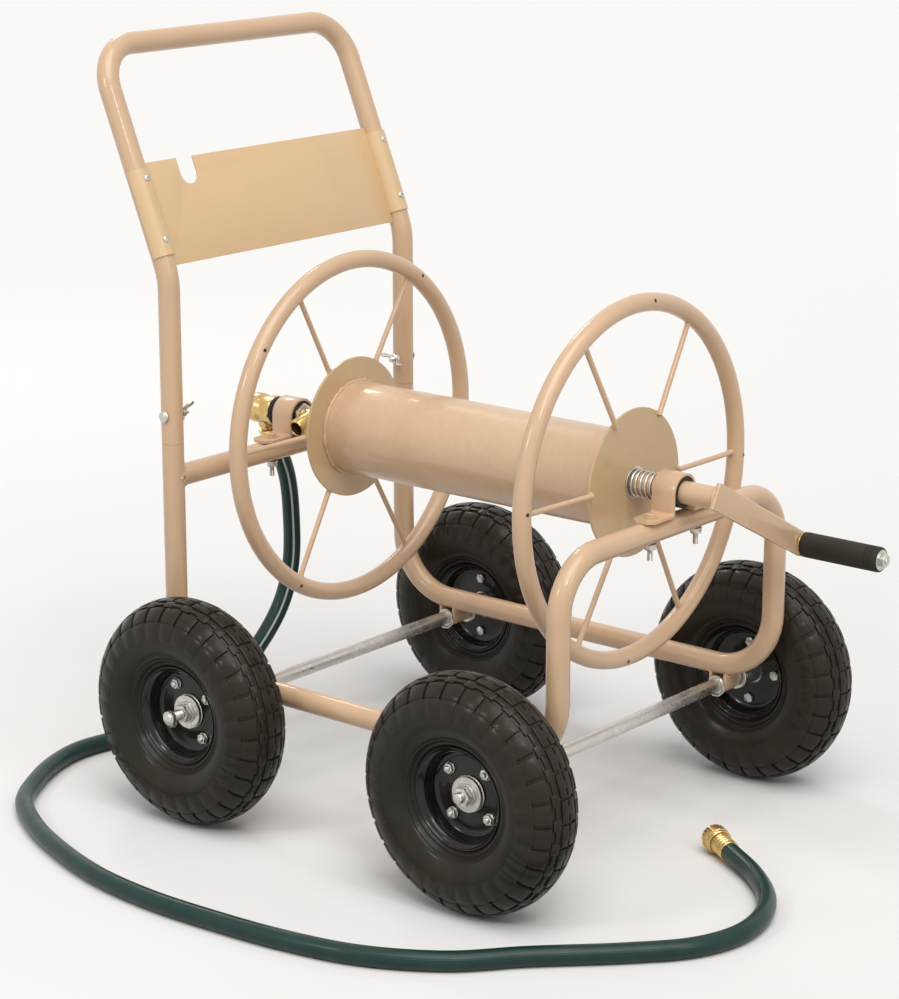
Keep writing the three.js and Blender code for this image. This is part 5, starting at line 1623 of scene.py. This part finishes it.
class REELCART_OT_water_way(bpy.types.Operator):
    """Fit the reel's brass outlet, the lock nut, the seal and the inlet swivel"""

    bl_idname = "reelcart.water_way"
    bl_label = "Water Way"

    def execute(self, context):
        self.outlet()
        self.lock_nut()
        self.seal()
        self.elbow()
        self.hose_nut()
        return {"FINISHED"}

    def outlet(self):
        """The water pipe behind the rear disc, and its branch with a threaded mouth and a bore painted dark
        as shade.
        """
        bm = bmesh.new()
        start = REAR_RING_Y + DISC_HALF + SEAT_GAP
        turned(bm, rounded_rod(10, box("reel_outlet")[1].y - start, 0.4), on_reel(start), Y)
        root = on_reel(middle("outlet_lock_nut").y - OUTLET_BEFORE_NUT)
        branch = [(0, 0), (10.4, 0), (10.4, 14.5), (11, 15.1), (11, 18.5), (10.3, 19.3), (10.3, 20.1)]
        for at in [20.8 + 2.2 * tooth for tooth in range(4)]:
            branch += [(11, at), (11, at + 0.4), (10.3, at + 1.1)]
        lip = OUTLET_MOUTH - 0.6
        branch += [(10.3, lip), (9.9, OUTLET_MOUTH), (8.5, OUTLET_MOUTH), (8.1, lip), (8.1, 5), (0, 4.6)]
        before = len(bm.faces)
        turned(bm, branch, root, OUTLET_WAY, 44)
        bm.faces.ensure_lookup_table()
        for face in bm.faces[before:]:
            spot = middle_of(face) - root
            along = spot.dot(OUTLET_WAY)
            # The faces inside the bore take the dark painted shade.
            if (spot - OUTLET_WAY * along).length < 8.6 and 4 < along < OUTLET_MOUTH - 1:
                second_finish([face])
        hexagon(bm, 23.5, root - Y * 12, Y, 4.5, 0.6, 10)
        finished("reel_brass_outlet", bm, "reel", "brass", "reel_outlet", finishes=["brass", "shadow"])

    def lock_nut(self):
        bm = bmesh.new()
        hexagon(bm, 27, on_reel(box("outlet_lock_nut")[0].y), Y, depth_of("outlet_lock_nut"), 0.6)
        finished("outlet_zinc_lock_nut", bm, "reel", "zinc", "outlet_lock_nut")

    def seal(self):
        bm = bmesh.new()
        r, length = 17.5, depth_of("swivel_seal")
        profile = [
            (10.4, 0), (r - 1, 0), (r, 1), (r, 0.42 * length), (r - 1, 0.5 * length), (r, 0.58 * length),
            (r, length - 1), (r - 1, length), (10.4, length),
        ]
        closed_turned(bm, profile, on_reel(box("swivel_seal")[0].y), Y)
        finished("swivel_rubber_seal", bm, "frame", "seal_rubber", "swivel_seal")

    def elbow(self):
        bm = bmesh.new()
        low, high = box("swivel_elbow")
        end = high.y - low.y
        body = [
            (10.5, 0), (15.4, 0), (16.2, 0.8), (16.2, 10.4), (15.4, 11.4), (15.4, end - 22),
            (16.8, end - 20), (17.8, end - 15), (17.8, end - 8), (16.8, end - 3.8), (14.6, end - 1.2),
            (12, end - 0.2), (9.6, end), (0, end), (0, end - 12), (10.5, end - 14),
        ]
        closed_turned(bm, body, on_reel(low.y), Y, 48)
        leg = [
            (0, 4), (11.2, 4), (11.2, 18.5), (11.5, 19), (11.5, 22.4), (10.8, 23), (10.8, 25.4),
            (10.2, ELBOW_LEG), (0, ELBOW_LEG),
        ]
        turned(bm, leg, on_reel(high.y - ELBOW_LEG_INSET), ELBOW_LEG_WAY)
        hexagon(bm, 31, on_reel(low.y + 0.6), Y, 9.5, 0.9, 18)
        finished("swivel_brass_elbow", bm, "frame", "brass", "swivel_elbow")

    def hose_nut(self):
        bm = bmesh.new()
        root = on_reel(box("swivel_elbow")[1].y - ELBOW_LEG_INSET)
        start = root + ELBOW_LEG_WAY * (ELBOW_LEG + SEAT_GAP)
        nut = [
            (0, 0), (13.2, 0), (14.2, 0.8), (14.2, 6.8), (13.2, 7.6), (12.6, 8), (12.4, 14.4), (11.9, 15),
            (0, 15),
        ]
        turned(bm, nut, start, ELBOW_LEG_WAY, 44)
        hexagon(bm, 24.6, start + ELBOW_LEG_WAY * 0.5, ELBOW_LEG_WAY, 6.6, 0.7, 25)
        finished("swivel_brass_hose_nut", bm, "frame", "brass", "swivel_hose_nut")


# ---- Add-on ----------------------------------------------------------------------------------------------

STEPS = [
    REELCART_OT_stage,
    REELCART_OT_leader_hose,
    REELCART_OT_frame,
    REELCART_OT_axles,
    REELCART_OT_wheels,
    REELCART_OT_handle,
    REELCART_OT_bearings,
    REELCART_OT_reel,
    REELCART_OT_crank,
    REELCART_OT_water_way,
]


class REELCART_PT_panel(bpy.types.Panel):
    bl_label = "Hose Reel Cart"
    bl_idname = "REELCART_PT_panel"
    bl_space_type = "VIEW_3D"
    bl_region_type = "UI"
    bl_category = "Reel Cart"

    def draw(self, context):
        for group in (sizes(), colours()):
            for name in group.bl_rna.properties.keys():
                if name not in ("rna_type", "name"):
                    self.layout.prop(group, name)
        for step in STEPS:
            self.layout.operator(step.bl_idname)


CLASSES = [ReelCartSizes, ReelCartColours, *STEPS, REELCART_PT_panel]


def register():
    for each in CLASSES:
        bpy.utils.register_class(each)
    bpy.types.Scene.reel_cart_sizes = bpy.props.PointerProperty(type=ReelCartSizes)
    bpy.types.Scene.reel_cart_colours = bpy.props.PointerProperty(type=ReelCartColours)


def unregister():
    del bpy.types.Scene.reel_cart_colours
    del bpy.types.Scene.reel_cart_sizes
    for each in reversed(CLASSES):
        bpy.utils.unregister_class(each)


def main():
    register()
    for step in STEPS:
        area, name = step.bl_idname.split(".")
        getattr(getattr(bpy.ops, area), name)()


if __name__ == "__main__":
    main()
